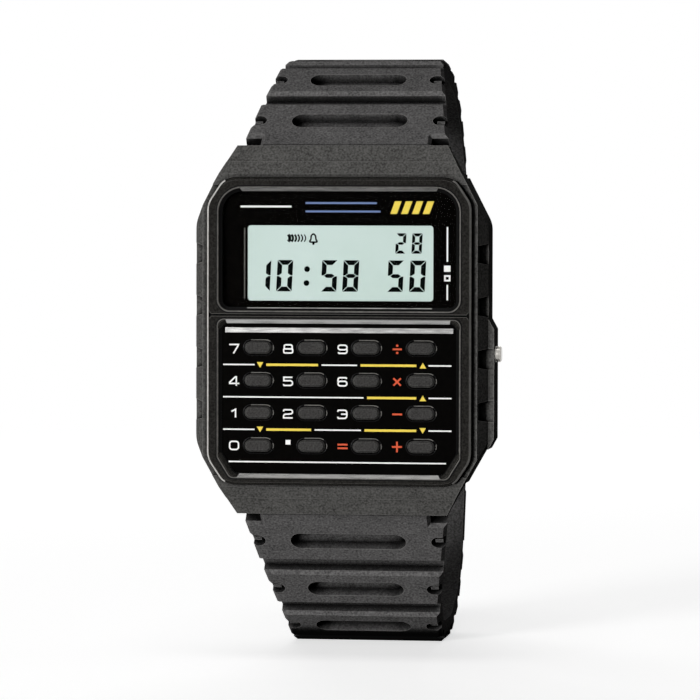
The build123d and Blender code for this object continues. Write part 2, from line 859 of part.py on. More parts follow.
# Case back, its gasket and its four screws
with BuildPart() as case_back:
    with BuildSketch(face(back_front)):
        Polygon(*cut_corners(back_width, back_height, back_corner, back_corner), align=None)
    extrude(amount=back_front - case_thickness)
    chamfer(case_back.faces().sort_by(Axis.Y)[-1].edges(), edge_break)
    with BuildSketch(face(case_thickness)):
        Polygon(*cut_corners(back_width - 2 * back_panel_margin, back_height - 2 * back_panel_margin,
                             back_corner, back_corner), align=None)
        Polygon(*cut_corners(back_width - 2 * back_panel_margin - back_step * 2,
                             back_height - 2 * back_panel_margin - back_step * 2,
                             back_corner, back_corner), align=None, mode=Mode.SUBTRACT)
    extrude(amount=back_step / 2, mode=Mode.SUBTRACT)
    with BuildSketch(face(case_thickness)):
        with GridLocations(screw_across, screw_up, 2, 2):
            Circle(screw_head_radius + clearance)
    extrude(amount=screw_head_depth, mode=Mode.SUBTRACT)
    with BuildSketch(face(case_thickness)):
        with GridLocations(screw_across, screw_up, 2, 2):
            Circle(screw_radius + clearance)
    extrude(amount=case_thickness - back_front, mode=Mode.SUBTRACT)
case_back.part.label = "case_back"
export_step(case_back.part, "parts/case_back.step")

with BuildPart() as back_gasket:
    with BuildSketch(face(back_front)):
        outer_offset = 2 * (gasket_offset + gasket_width)
        inner_offset = 2 * gasket_offset
        Polygon(*cut_corners(cavity_width + outer_offset, cavity_height + outer_offset,
                             cavity_corner, cavity_corner), align=None)
        Polygon(*cut_corners(cavity_width + inner_offset, cavity_height + inner_offset,
                             cavity_corner, cavity_corner), align=None, mode=Mode.SUBTRACT)
    extrude(amount=gasket_depth - clearance)
back_gasket.part.label = "back_gasket"
export_step(back_gasket.part, "parts/back_gasket.step")

with BuildPart() as back_screws:
    with BuildSketch(face(case_thickness)):
        with GridLocations(screw_across, screw_up, 2, 2):
            Circle(screw_head_radius)
    extrude(amount=screw_head_depth)
    with BuildSketch(face(case_thickness - screw_head_depth)):
        with GridLocations(screw_across, screw_up, 2, 2):
            Circle(screw_radius)
    extrude(amount=screw_length)
    with BuildSketch(face(case_thickness)):
        with GridLocations(screw_across, screw_up, 2, 2):
            Rectangle(2 * screw_head_radius, screw_slot_width)
            Rectangle(screw_slot_width, 2 * screw_head_radius)
    extrude(amount=screw_slot_depth, mode=Mode.SUBTRACT)
back_screws.part.label = "back_screws"
export_step(back_screws.part, "parts/back_screws.step")

# Pushers on the 3 o'clock side: cap, shaft, return spring, seal and retainer
retainer_start = cavity_width / 2 - clearance - retainer_thickness
pusher_table = (
    ("mode", pusher_height, pusher_radius, pusher_tip, pusher_cap_length),
    ("adjust", flush_height, flush_radius, flush_tip, flush_cap_length),
)
for name, height, radius, tip, cap_length in pusher_table:
    cap_start = tip - cap_length
    with BuildPart() as pusher:
        with BuildSketch(across(shaft_end, pusher_depth, height)):
            Circle(shaft_radius)
        extrude(amount=tip - shaft_end - cap_length / 2)
        with BuildSketch(across(cap_start, pusher_depth, height)):
            Circle(radius)
        extrude(amount=cap_length)
        chamfer(pusher.faces().sort_by(Axis.X)[-1].edges(), pusher_rib)
        with BuildSketch(across(retainer_start - clearance / 2, pusher_depth, height)):
            Circle(shaft_radius + overrun)
            Circle(shaft_radius - shaft_groove, mode=Mode.SUBTRACT)
        extrude(amount=retainer_thickness + clearance, mode=Mode.SUBTRACT)
        for ring in range(1, int(cap_length / 2 / pusher_rib)):
            with BuildSketch(across(tip - 2 * ring * pusher_rib, pusher_depth, height)):
                Circle(radius + overrun)
                Circle(radius - pusher_rib_depth, mode=Mode.SUBTRACT)
            extrude(amount=pusher_rib / 2, mode=Mode.SUBTRACT)
    pusher.part.label = name + "_pusher"
    export_step(pusher.part, "parts/" + name + "_pusher.step")

    floor = cap_start - spring_space
    coil_run = spring_space - pusher_travel - 2 * spring_wire - clearance
    coil_radius = min(spring_radius, radius - spring_wire)
    with BuildPart() as pusher_spring:
        with BuildLine() as coil:
            Helix(coil_run / spring_turns, coil_run, coil_radius)
        with BuildSketch(Plane(origin=coil.line @ 0, z_dir=coil.line % 0)):
            Circle(spring_wire)
        sweep(path=coil.line, is_frenet=True)
    spring_part = across(floor + spring_wire, pusher_depth, height).location * pusher_spring.part
    spring_part.label = name + "_pusher_spring"
    export_step(spring_part, "parts/" + name + "_pusher_spring.step")

    with BuildPart() as pusher_seal:
        with BuildSketch(across(seal_start + seal_gap, pusher_depth, height)):
            Circle(seal_radius - seal_gap)
            Circle(shaft_radius + seal_gap, mode=Mode.SUBTRACT)
        extrude(amount=seal_length - 2 * seal_gap)
    pusher_seal.part.label = name + "_pusher_seal"
    export_step(pusher_seal.part, "parts/" + name + "_pusher_seal.step")

    with BuildPart() as retainer:
        with BuildSketch(across(retainer_start, pusher_depth, height)):
            Circle(retainer_radius)
            Circle(shaft_radius - shaft_groove + seal_gap, mode=Mode.SUBTRACT)
            with Locations((-retainer_radius, 0)):
                Rectangle(2 * retainer_radius, 2 * (shaft_radius - shaft_groove), mode=Mode.SUBTRACT)
        extrude(amount=retainer_thickness)
    retainer.part.label = name + "_pusher_retainer"
    export_step(retainer.part, "parts/" + name + "_pusher_retainer.step")

# Leaf contacts that the pushers touch, standing against the edge of the board
with BuildPart() as pusher_contacts:
    for height, _, _ in pusher_places:
        with BuildSketch(across(board_width / 2 + leaf_gap, board_front + leaf_length / 2, height)):
            Rectangle(leaf_length, leaf_height)
        extrude(amount=leaf_thickness)
pusher_contacts.part.label = "pusher_contacts"
export_step(pusher_contacts.part, "parts/pusher_contacts.step")

# Spring bars that carry the strap halves
for name, end in (("upper", 1), ("lower", -1)):
    with BuildPart() as spring_bar:
        with BuildSketch(across(clearance - ear_inner, bar_depth, end * bar_height)):
            Circle(bar_radius)
        extrude(amount=2 * (ear_inner - clearance))
        with BuildSketch(across(-ear_inner - bar_pin_length, bar_depth, end * bar_height)):
            Circle(bar_pin_radius)
        extrude(amount=2 * (ear_inner + bar_pin_length))
    spring_bar.part.label = "spring_bar_" + name
    export_step(spring_bar.part, "parts/spring_bar_" + name + ".step")


def link_plane(start, heading, side, sink):
    """Plane on a run of the strap: Y along it, Z outward, sunk below its outer face."""
    slope = radians(heading)
    outward = (0, -sin(slope), side * cos(slope))
    depth, height = start
    origin = Vector(0, depth - foot_depth, height + case_height) - Vector(*outward) * sink
    return Plane(origin=origin, x_dir=(side, 0, 0), z_dir=outward)


def inset_chain(chain, headings, side, sink):
    """The chain moved inwards by sink, mitred at its corners, as points of Plane.YZ."""
    turns = [headings[0]] + list(headings) + [headings[-1]]
    points = []
    for k, (depth, height) in enumerate(chain):
        middle = radians((turns[k] + turns[k + 1]) / 2)
        reach = sink / cos(radians((turns[k + 1] - turns[k]) / 2))
        points.append(side_point(depth + reach * sin(middle), height - side * reach * cos(middle)))
    return points


def strap_half_width(run):
    """Half of the strap's width at a run along it from the case."""
    lug_half = lug_end_width / 2 - seat_gap
    return lug_half - (lug_half - strap_end_width / 2) * min(run / strap_taper_length, 1)


def trapezoid_points(start_half, end_half, length):
    """A run of the strap seen from outside, narrowing towards its end."""
    return [(start_half, 0), (end_half, length), (-end_half, length), (-start_half, 0)]


def tongue_points(tongue_half, start_half, end_half, length):
    """First link: a narrow tongue goes in between the ears of the case."""
    right = [(tongue_half, 0), (tongue_half, tongue_length), (start_half, tongue_length), (end_half, length)]
    return right + [(-x, y) for x, y in reversed(right)]


tongue_half = ear_inner - ear_gap
end_depth, end_place = upper_chain[-1]
end_slope = radians(upper_headings[-1])
buckle_depth = end_depth + buckle_bar_drop * sin(end_slope)
buckle_place = end_place - buckle_bar_drop * cos(end_slope)
prong_gap_width = prong_width + 2 * prong_gap

# Strap halves: thick links on a thinner web, with a barrel for the spring bar of the case
strap_table = (
    ("upper", 1, upper_chain, upper_lengths, upper_headings),
    ("lower", -1, lower_chain, lower_lengths, lower_headings),
)
for name, side, chain, lengths, headings in strap_table:
    web_sink = strap_thickness - strap_web
    with BuildPart() as strap:
        with BuildSketch(Plane.YZ):
            with BuildLine():
                Polyline(*inset_chain(chain, headings, side, web_sink)[1:],
                         *reversed(inset_chain(chain, headings, side, strap_thickness)[1:]), close=True)
            make_face()
        extrude(amount=strap_end_width / 2, both=True)

        run = 0
        for k, (start, length, heading) in enumerate(zip(chain, lengths, headings)):
            start_half = strap_half_width(run)
            end_half = strap_half_width(run + length)
            middle_half = (start_half + end_half) / 2
            is_link = k % 2 == 0
            outline = trapezoid_points(start_half, end_half, length)
            if k == 0:
                outline = tongue_points(tongue_half, strap_half_width(tongue_length), end_half, length)
            if is_link:
                with BuildSketch(link_plane(start, heading, side, strap_thickness)):
                    with BuildLine():
                        Polyline(*outline, close=True)
                    make_face()
                extrude(amount=strap_thickness - link_bevel)
                with BuildSketch(link_plane(start, heading, side, link_bevel)):
                    with BuildLine():
                        Polyline(*outline, close=True)
                    make_face()
                extrude(amount=link_bevel, taper=bevel_angle)
            elif middle_half > strap_end_width / 2:
                with BuildSketch(link_plane(start, heading, side, strap_thickness)):
                    with BuildLine():
                        Polyline(*outline, close=True)
                    make_face()
                extrude(amount=strap_web)

            # Long recess in the middle of a link and a notch with a rib at each edge
            if is_link and k // 2 < slotted_links:
                middle = (0, length / 2 + (slot_shift if k == 0 else 0))
                with BuildSketch(link_plane(start, heading, side, slot_depth)):
                    with Locations(middle):
                        SlotOverall(slot_first_length if k == 0 else slot_length, slot_height)
                extrude(amount=slot_depth, mode=Mode.SUBTRACT)
                with BuildSketch(link_plane(start, heading, side, edge_notch_cut)):
                    for edge in (1, -1):
                        with Locations((edge * middle_half, middle[1])):
                            SlotOverall(2 * edge_notch_depth, edge_notch_height)
                extrude(amount=edge_notch_cut, mode=Mode.SUBTRACT)
                with BuildSketch(link_plane(start, heading, side, edge_notch_cut)):
                    for edge in (1, -1):
                        with Locations((edge * (middle_half - edge_rib_width / 2 - link_bevel), middle[1])):
                            Rectangle(edge_rib_width, edge_rib_height)
                extrude(amount=edge_notch_cut - edge_rib_drop)
            elif is_link and side < 0:
                with BuildSketch(link_plane(start, heading, side, strap_thickness)):
                    with Locations((0, length / 2)):
                        Circle(hole_radius)
                extrude(amount=strap_thickness + overrun, both=True, mode=Mode.SUBTRACT)
            run += length

        # Barrel round the spring bar of the case
        with BuildSketch(across(-tongue_half, bar_depth, side * bar_height)):
            Circle(barrel_radius)
        extrude(amount=2 * tongue_half)
        with BuildSketch(across(-tongue_half, bar_depth, side * bar_height)):
            Circle(bar_radius + barrel_gap)
        extrude(amount=2 * tongue_half, mode=Mode.SUBTRACT)

        if side > 0:
            # Barrel round the buckle's bar, with a gap for the prong
            with BuildSketch(across(-strap_end_width / 2, buckle_depth, buckle_place)):
                Circle(buckle_barrel_radius)
            extrude(amount=strap_end_width)
            with BuildSketch(link_plane(chain[-1], headings[-1], side, strap_thickness)):
                Rectangle(prong_gap_width, 2 * prong_slot)
            extrude(amount=strap_thickness + overrun, both=True, mode=Mode.SUBTRACT)
            with BuildSketch(across(-strap_end_width / 2, buckle_depth, buckle_place)):
                Circle(buckle_bar_radius + barrel_gap)
            extrude(amount=strap_end_width, mode=Mode.SUBTRACT)
        else:
            # Rounded tip of the tail
            with BuildSketch(link_plane(chain[-2], headings[-1], side, strap_thickness)):
                with Locations((0, (tail_length + overrun) / 2)):
                    Rectangle(strap_end_width + overrun, tail_length + overrun)
                Ellipse(strap_end_width / 2, tail_length, mode=Mode.SUBTRACT)
            extrude(amount=strap_thickness + overrun, both=True, mode=Mode.SUBTRACT)
    strap.part.label = "strap_" + name
    export_step(strap.part, "parts/strap_" + name + ".step")

# Buckle on the end of the upper half: bar, frame and prong turn about one axis
buckle_outer_width = buckle_inner_width + 2 * buckle_wire
ear_hole_reach = buckle_outer_width / 2 - buckle_ear_wall
pin_reach = ear_hole_reach - buckle_pin_gap
with BuildPart() as buckle_bar:
    with BuildSketch(across(clearance - buckle_inner_width / 2, buckle_depth, buckle_place)):
        Circle(buckle_bar_radius)
    extrude(amount=buckle_inner_width - 2 * clearance)
    with BuildSketch(across(-pin_reach, buckle_depth, buckle_place)):
        Circle(buckle_bar_pin_radius)
    extrude(amount=2 * pin_reach)
buckle_bar.part.label = "buckle_bar"
export_step(buckle_bar.part, "parts/buckle_bar.step")

frame_half_thickness = buckle_thickness / 2
frame_back_plane = link_plane(upper_chain[-1], upper_headings[-1], 1, buckle_bar_drop + frame_half_thickness)
buckle_end = buckle_reach + buckle_wire
with BuildPart() as buckle_frame:
    with BuildSketch(frame_back_plane) as frame_outline:
        with Locations((0, (buckle_end - buckle_ear) / 2)):
            Rectangle(buckle_outer_width, buckle_end + buckle_ear)
        fillet(frame_outline.vertices().group_by(Axis.Y)[-1], buckle_corner)
    extrude(amount=buckle_thickness)
    fillet(buckle_frame.faces().sort_by(Axis.Y)[-1].edges(), buckle_round)
    with BuildSketch(frame_back_plane) as frame_opening:
        with Locations((0, (buckle_reach - buckle_ear - overrun) / 2)):
            Rectangle(buckle_inner_width, buckle_reach + buckle_ear + overrun)
        fillet(frame_opening.vertices().group_by(Axis.Y)[-1], buckle_corner / 2)
    extrude(amount=buckle_thickness, mode=Mode.SUBTRACT)
    with BuildSketch(across(-ear_hole_reach, buckle_depth, buckle_place)):
        Circle(buckle_bar_pin_radius + clearance)
    extrude(amount=2 * ear_hole_reach, mode=Mode.SUBTRACT)
buckle_frame.part.label = "buckle_frame"
export_step(buckle_frame.part, "parts/buckle_frame.step")

# Prong: an eye on the bar and a shank whose tip rests on the far side of the frame
prong_rest = frame_half_thickness + clearance
prong_low = prong_rest - prong_thickness
with BuildPart() as buckle_prong:
    with BuildSketch(Plane(origin=(-prong_width / 2, buckle_depth - foot_depth, buckle_place + case_height),
                           x_dir=(0, 0, -1), z_dir=(1, 0, 0))):
        Circle(prong_eye_radius)
        with BuildLine():
            Polyline(
                (0, prong_low), (buckle_reach - prong_gap, prong_rest), (buckle_end + prong_gap, prong_rest),
                (buckle_end + prong_gap, prong_rest + prong_thickness - prong_gap),
                (buckle_end - prong_gap, prong_rest + prong_thickness),
                (buckle_reach - prong_gap, prong_rest + prong_thickness),
                (0, prong_eye_radius), close=True,
            )
        make_face()
        Circle(buckle_bar_radius + barrel_gap, mode=Mode.SUBTRACT)
    extrude(amount=prong_width)
buckle_prong.part.label = "buckle_prong"
export_step(buckle_prong.part, "parts/buckle_prong.step")

# Keeper: the loop that slides on the straight end of the upper half
keeper_start = link_plane(upper_chain[keeper_link], upper_headings[keeper_link], 1, strap_thickness / 2)
keeper_plane = Plane(origin=keeper_start.origin + keeper_start.y_dir * keeper_rest,
                     x_dir=(1, 0, 0), z_dir=keeper_start.y_dir)
with BuildPart() as strap_keeper:
    with BuildSketch(keeper_plane):
        RectangleRounded(strap_end_width + 2 * (keeper_gap + keeper_wall),
                         strap_thickness + 2 * (keeper_gap + keeper_wall), keeper_wall)
        Rectangle(strap_end_width + 2 * keeper_gap, strap_thickness + 2 * keeper_gap, mode=Mode.SUBTRACT)
    extrude(amount=keeper_width)
strap_keeper.part.label = "strap_keeper"
export_step(strap_keeper.part, "parts/strap_keeper.step")
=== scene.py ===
"""Looks of the calculator watch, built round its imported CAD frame."""

import json
import math
from collections import namedtuple

import bmesh
import bpy
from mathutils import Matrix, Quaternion, Vector
from mathutils.geometry import tessellate_polygon


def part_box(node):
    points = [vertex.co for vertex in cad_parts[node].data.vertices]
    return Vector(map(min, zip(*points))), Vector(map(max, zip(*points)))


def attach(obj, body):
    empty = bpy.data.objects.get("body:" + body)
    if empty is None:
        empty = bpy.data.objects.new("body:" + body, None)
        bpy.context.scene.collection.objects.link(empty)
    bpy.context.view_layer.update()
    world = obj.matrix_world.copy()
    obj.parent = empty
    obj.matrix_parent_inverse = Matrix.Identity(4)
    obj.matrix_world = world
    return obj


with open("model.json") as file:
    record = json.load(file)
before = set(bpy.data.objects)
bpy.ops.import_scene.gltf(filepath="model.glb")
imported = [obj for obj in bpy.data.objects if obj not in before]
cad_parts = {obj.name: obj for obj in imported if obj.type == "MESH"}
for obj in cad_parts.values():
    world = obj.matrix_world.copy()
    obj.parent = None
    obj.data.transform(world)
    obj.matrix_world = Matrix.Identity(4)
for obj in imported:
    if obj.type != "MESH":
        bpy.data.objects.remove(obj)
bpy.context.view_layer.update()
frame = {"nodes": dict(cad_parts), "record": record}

# Blender works in metres. Sizes of the watch are written in mm, and turned into metres where a point or a
# shader is made. A depth goes back from the front of the bezel, and a height up from the case's centre.
MM = 0.001

bezel_low, bezel_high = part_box("front_bezel")
BEZEL_CENTRE = -0.1
FRONT = bezel_low.y / MM
CENTRE = (bezel_low.z + bezel_high.z) / 2 / MM - BEZEL_CENTRE
MASK_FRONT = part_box("display_mask")[0].y / MM - FRONT
CELL_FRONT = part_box("lcd_cell")[0].y / MM - FRONT
PANEL_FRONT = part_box("keypad_panel")[0].y / MM - FRONT
LENS_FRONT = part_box("display_lens")[0].y / MM - FRONT


# Shader helpers

GRAIN_DETAIL = 3.0
GRAIN_SHARE, MOTTLE_SHARE = 0.65, 0.35
SURFACE_SAMPLES = 8
# Ranges of the masks for painted shade in grooves and for painted highlights on edges
OPEN_LOW, OPEN_HIGH = 0.5, 0.95
EDGE_LIGHT_LOW, EDGE_LIGHT_HIGH = 0.87, 0.985

# Sockets of a Mix node that mixes colours
MIX_FIRST, MIX_SECOND, MIX_RESULT = 6, 7, 2


def node_tree(name):
    """A new material with an empty tree, an output and a Principled shader."""
    material = bpy.data.materials.new(name)
    material.use_nodes = True
    tree = material.node_tree
    tree.nodes.clear()
    output = tree.nodes.new("ShaderNodeOutputMaterial")
    shader = tree.nodes.new("ShaderNodeBsdfPrincipled")
    tree.links.new(shader.outputs["BSDF"], output.inputs["Surface"])
    return material, tree, shader, output


def noise(tree, size_mm, detail=2.0, stretch=(1, 1, 1)):
    """Noise with features of about size_mm, fixed to the object."""
    place = tree.nodes.new("ShaderNodeTexCoord")
    scale = tree.nodes.new("ShaderNodeMapping")
    scale.inputs["Scale"].default_value = [1 / (size_mm * MM * s) for s in stretch]
    tree.links.new(place.outputs["Object"], scale.inputs["Vector"])
    field = tree.nodes.new("ShaderNodeTexNoise")
    field.inputs["Scale"].default_value = 1.0
    field.inputs["Detail"].default_value = detail
    tree.links.new(scale.outputs["Vector"], field.inputs["Vector"])
    return field.outputs["Fac"]


def spread(tree, value, low, high, from_low=0.3, from_high=0.7):
    """A value mapped from one range to another. The first range fits noise unless it is given."""
    mapped = tree.nodes.new("ShaderNodeMapRange")
    mapped.inputs["From Min"].default_value = from_low
    mapped.inputs["From Max"].default_value = from_high
    mapped.inputs["To Min"].default_value = low
    mapped.inputs["To Max"].default_value = high
    tree.links.new(value, mapped.inputs["Value"])
    return mapped.outputs["Result"]


def over(tree, fac, first, second):
    """A colour between two by fac, where each is a colour or a socket."""
    mix = tree.nodes.new("ShaderNodeMix")
    mix.data_type = "RGBA"
    for place, colour in ((MIX_FIRST, first), (MIX_SECOND, second)):
        if isinstance(colour, (tuple, list)):
            mix.inputs[place].default_value = (*colour, 1)
        else:
            tree.links.new(colour, mix.inputs[place])
    tree.links.new(fac, mix.inputs[0])
    return mix.outputs[MIX_RESULT]


def combined(tree, operation, first, second):
    """Two values put through one operation of a Math node."""
    node = tree.nodes.new("ShaderNodeMath")
    node.operation = operation
    tree.links.new(first, node.inputs[0])
    tree.links.new(second, node.inputs[1])
    return node.outputs[0]


def bump(tree, shader, height, depth_mm):
    """Bump of the given depth on a shader."""
    node = tree.nodes.new("ShaderNodeBump")
    node.inputs["Distance"].default_value = depth_mm * MM
    tree.links.new(height, node.inputs["Height"])
    tree.links.new(node.outputs["Normal"], shader.inputs["Normal"])


def unshaded_share(tree, shade_reach_mm):
    """1 on open faces and 0 deep in a groove or corner: the mask of painted shade."""
    near = tree.nodes.new("ShaderNodeAmbientOcclusion")
    near.samples = SURFACE_SAMPLES
    near.inputs["Distance"].default_value = shade_reach_mm * MM
    return spread(tree, near.outputs["AO"], 0.0, 1.0, OPEN_LOW, OPEN_HIGH)


def edge_highlight_share(tree, radius_mm):
    """1 along sharp edges and 0 on flat faces: the mask of a painted edge highlight."""
    soft = tree.nodes.new("ShaderNodeBevel")
    soft.samples = SURFACE_SAMPLES
    soft.inputs["Radius"].default_value = radius_mm * MM
    plain = tree.nodes.new("ShaderNodeNewGeometry")
    turn = tree.nodes.new("ShaderNodeVectorMath")
    turn.operation = "DOT_PRODUCT"
    tree.links.new(soft.outputs["Normal"], turn.inputs[0])
    tree.links.new(plain.outputs["Normal"], turn.inputs[1])
    return spread(tree, turn.outputs["Value"], 1.0, 0.0, EDGE_LIGHT_LOW, EDGE_LIGHT_HIGH)


# Kinds of material

def moulded(name, dark, light, grain_mm, grain_depth_mm, rough, shine=0.5, mottle_mm=2.5,
            shade_colour=None, shade_reach_mm=1.0, edge=None, edge_light_mm=0.14):
    """Moulded resin or rubber: fine grain in relief and colour, with a slow change of tone.

    A shade colour, painted shade, darkens grooves and corners, and an edge colour, a painted highlight,
    lightens sharp edges."""
    material, tree, shader, _ = node_tree(name)
    fine = noise(tree, grain_mm, GRAIN_DETAIL)
    tone = tree.nodes.new("ShaderNodeMath")
    tone.operation = "MULTIPLY_ADD"
    tree.links.new(noise(tree, mottle_mm), tone.inputs[0])
    tone.inputs[1].default_value = MOTTLE_SHARE
    tree.links.new(spread(tree, fine, 0.0, GRAIN_SHARE), tone.inputs[2])
    colour = over(tree, tone.outputs[0], dark, light)
    if shade_colour:
        # Painted shade: the shade colour darkens grooves and corners by ambient occlusion.
        clear = unshaded_share(tree, shade_reach_mm)
        colour = over(tree, clear, shade_colour, colour)
        if edge:
            # Painted highlight: the edge colour lightens sharp edges.
            highlit = combined(tree, "MULTIPLY", edge_highlight_share(tree, edge_light_mm), clear)
            colour = over(tree, highlit, colour, edge)
    tree.links.new(colour, shader.inputs["Base Color"])
    tree.links.new(spread(tree, fine, *rough), shader.inputs["Roughness"])
    shader.inputs["Specular IOR Level"].default_value = shine
    bump(tree, shader, fine, grain_depth_mm)
    return material


def metal(name, dark, light, rough, grain_mm=0.25, stretch=(1, 1, 1), depth_mm=0.002):
    """Metal with a fine, slightly uneven finish, which stretch turns into a brushed one."""
    material, tree, shader, _ = node_tree(name)
    shader.inputs["Metallic"].default_value = 1.0
    fine = noise(tree, grain_mm, GRAIN_DETAIL, stretch)
    tree.links.new(over(tree, spread(tree, fine, 0.0, 1.0), dark, light), shader.inputs["Base Color"])
    tree.links.new(spread(tree, fine, *rough), shader.inputs["Roughness"])
    bump(tree, shader, fine, depth_mm)
    return material


GLASS_ROUGHNESS, GLASS_MOTTLE_MM = 0.02, 6.0


def clear_glass(name, tint, index):
    """Clear coated glass that lets lamps through: it mirrors by Fresnel and passes the rest."""
    material, tree, shader, output = node_tree(name)
    tree.nodes.remove(shader)
    fresnel = tree.nodes.new("ShaderNodeFresnel")
    fresnel.inputs["IOR"].default_value = index
    through = tree.nodes.new("ShaderNodeBsdfTransparent")
    uneven = spread(tree, noise(tree, GLASS_MOTTLE_MM), 0.0, 1.0)
    tree.links.new(over(tree, uneven, tint, (1, 1, 1)), through.inputs["Color"])
    mirror = tree.nodes.new("ShaderNodeBsdfGlossy")
    mirror.inputs["Roughness"].default_value = GLASS_ROUGHNESS
    mix = tree.nodes.new("ShaderNodeMixShader")
    tree.links.new(fresnel.outputs["Fac"], mix.inputs["Fac"])
    tree.links.new(through.outputs["BSDF"], mix.inputs[1])
    tree.links.new(mirror.outputs["BSDF"], mix.inputs[2])
    tree.links.new(mix.outputs["Shader"], output.inputs["Surface"])
    return material


INK_THIN = 0.9


def ink(name, colour, shine=0.1):
    """Printed ink, a little uneven."""
    thin = [c * INK_THIN for c in colour]
    return moulded(name, thin, colour, 0.12, 0.002, (0.45, 0.55), shine)


# Matt grained resin of the case, the bezel and the strap, with painted shade in the grooves and a painted
# highlight along the edges
SHADE_BLACK = (0.003, 0.003, 0.003)
RESIN = {"grain_mm": 0.24, "grain_depth_mm": 0.014, "rough": (0.72, 0.88), "shine": 0.0, "shade_colour": SHADE_BLACK}
resin_case = moulded("resin_case", (0.016, 0.0155, 0.0146), (0.124, 0.122, 0.117), **RESIN,
                     shade_reach_mm=0.8, edge=(0.19, 0.186, 0.178))
resin_bezel = moulded("resin_bezel", (0.004, 0.0038, 0.0035), (0.028, 0.0268, 0.0245), **RESIN,
                      shade_reach_mm=0.7, edge=(0.12, 0.116, 0.108))
resin_strap = moulded("resin_strap", (0.020, 0.0193, 0.0193), (0.172, 0.168, 0.167), **RESIN,
                      shade_reach_mm=2.4, edge=(0.20, 0.195, 0.19))

# Keys, and the black of the panel, the mask, the rims and the collars
# The keys also get painted shade in their hollows and a painted highlight along their edges.
key_grey = moulded("key_grey", (0.012, 0.0117, 0.0113), (0.062, 0.060, 0.058), 0.2, 0.012, (0.6, 0.75),
                   0.03, shade_colour=SHADE_BLACK, shade_reach_mm=0.3, edge=(0.13, 0.128, 0.124), edge_light_mm=0.1)
DEEP_BLACK = ((0.0006, 0.0005, 0.0004), (0.0014, 0.0012, 0.001))
panel_gloss = moulded("panel_gloss", *DEEP_BLACK, 0.5, 0.0004, (0.12, 0.16), 0.012)
mask_black = moulded("mask_black", *DEEP_BLACK, 0.5, 0.0004, (0.4, 0.5), 0.0)
collar_gloss = moulded("collar_gloss", (0.001, 0.001, 0.001), (0.002, 0.002, 0.002), 0.3, 0.0004,
                       (0.2, 0.28), 0.06)
rim_black = moulded("rim_black", (0.0012, 0.0012, 0.0012), (0.003, 0.003, 0.003), 0.3, 0.001,
                    (0.3, 0.4), 0.03)

# Fine pale lines where the black mouldings catch the light
line_bright = moulded("line_bright", (0.3, 0.29, 0.275), (0.52, 0.51, 0.49), 0.5, 0.001, (0.5, 0.6), 0.1)
line_soft = moulded("line_soft", (0.1, 0.098, 0.092), (0.2, 0.196, 0.186), 0.5, 0.001, (0.5, 0.6), 0.1)
rim_line = moulded("rim_line", (0.05, 0.048, 0.045), (0.13, 0.125, 0.115), 0.5, 0.001, (0.4, 0.5), 0.1)

# Rubber, plastic, boards and film inside
rubber_dark = moulded("rubber_dark", (0.02, 0.02, 0.02), (0.035, 0.035, 0.035), 0.2, 0.01, (0.6, 0.75))
membrane_grey = moulded("membrane_grey", (0.22, 0.22, 0.21), (0.28, 0.28, 0.27), 0.3, 0.01, (0.55, 0.7))
zebra_stripe = moulded("zebra_stripe", (0.05, 0.05, 0.05), (0.45, 0.42, 0.4), 0.1, 0.002, (0.5, 0.6))
board_green = moulded("board_green", (0.01, 0.09, 0.04), (0.015, 0.14, 0.06), 1.2, 0.003, (0.3, 0.42))
chip_black = moulded("chip_black", (0.012, 0.012, 0.012), (0.022, 0.022, 0.022), 0.1, 0.004, (0.45, 0.6))
ceramic = moulded("ceramic", (0.42, 0.33, 0.22), (0.52, 0.42, 0.3), 0.2, 0.002, (0.35, 0.45))
frame_plastic = moulded("frame_plastic", (0.55, 0.55, 0.53), (0.66, 0.66, 0.64), 0.4, 0.004, (0.4, 0.55))
film = moulded("film", (0.55, 0.52, 0.4), (0.62, 0.6, 0.48), 1.5, 0.001, (0.2, 0.3))

# The screen's pale green, the lens and the inks
screen = moulded("screen", (0.505, 0.607, 0.577), (0.523, 0.625, 0.594), 0.8, 0.0005, (0.35, 0.4), 0.02)
lens_clear = clear_glass("lens_clear", (0.985, 0.99, 0.985), 1.06)
ink_white = ink("ink_white", (0.82, 0.82, 0.81))
ink_red = ink("ink_red", (0.62, 0.085, 0.03))
ink_yellow = ink("ink_yellow", (0.78, 0.60, 0.08))
ink_blue = ink("ink_blue", (0.14, 0.20, 0.40))
ink_lcd = ink("ink_lcd", (0.002, 0.003, 0.003), 0.0)

# Metals
foil = metal("foil", (0.72, 0.74, 0.72), (0.85, 0.86, 0.84), (0.3, 0.4))
strip_silver = metal("strip_silver", (0.2, 0.198, 0.195), (0.26, 0.257, 0.252), (0.18, 0.26), 0.2, (8, 1, 1))
# Painted highlights: a bright and a dim copy of one satin metal, for bands on the windows' slopes
lip_highlight_bright = metal("lip_highlight_bright", (0.33, 0.328, 0.322), (0.5, 0.498, 0.49), (0.24, 0.32), 0.3, (8, 1, 1))
lip_highlight_dim = metal("lip_highlight_dim", (0.09, 0.089, 0.086), (0.2, 0.198, 0.192), (0.24, 0.32), 0.3, (8, 1, 1))
can_steel = metal("can_steel", (0.6, 0.6, 0.58), (0.72, 0.72, 0.7), (0.2, 0.3))
brass = metal("brass", (0.62, 0.48, 0.2), (0.75, 0.6, 0.28), (0.25, 0.35))
back_steel = metal("back_steel", (0.42, 0.42, 0.41), (0.54, 0.535, 0.52), (0.25, 0.36), 0.15, (10, 1, 1))
screw_steel = metal("screw_steel", (0.42, 0.42, 0.41), (0.54, 0.54, 0.53), (0.22, 0.32))
spring_steel = metal("spring_steel", (0.4, 0.4, 0.39), (0.52, 0.52, 0.51), (0.25, 0.35))
chrome = metal("chrome", (0.36, 0.345, 0.32), (0.5, 0.485, 0.455), (0.16, 0.24))
buckle_steel = metal("buckle_steel", (0.42, 0.42, 0.41), (0.54, 0.54, 0.53), (0.22, 0.32), 0.15, (6, 1, 1))

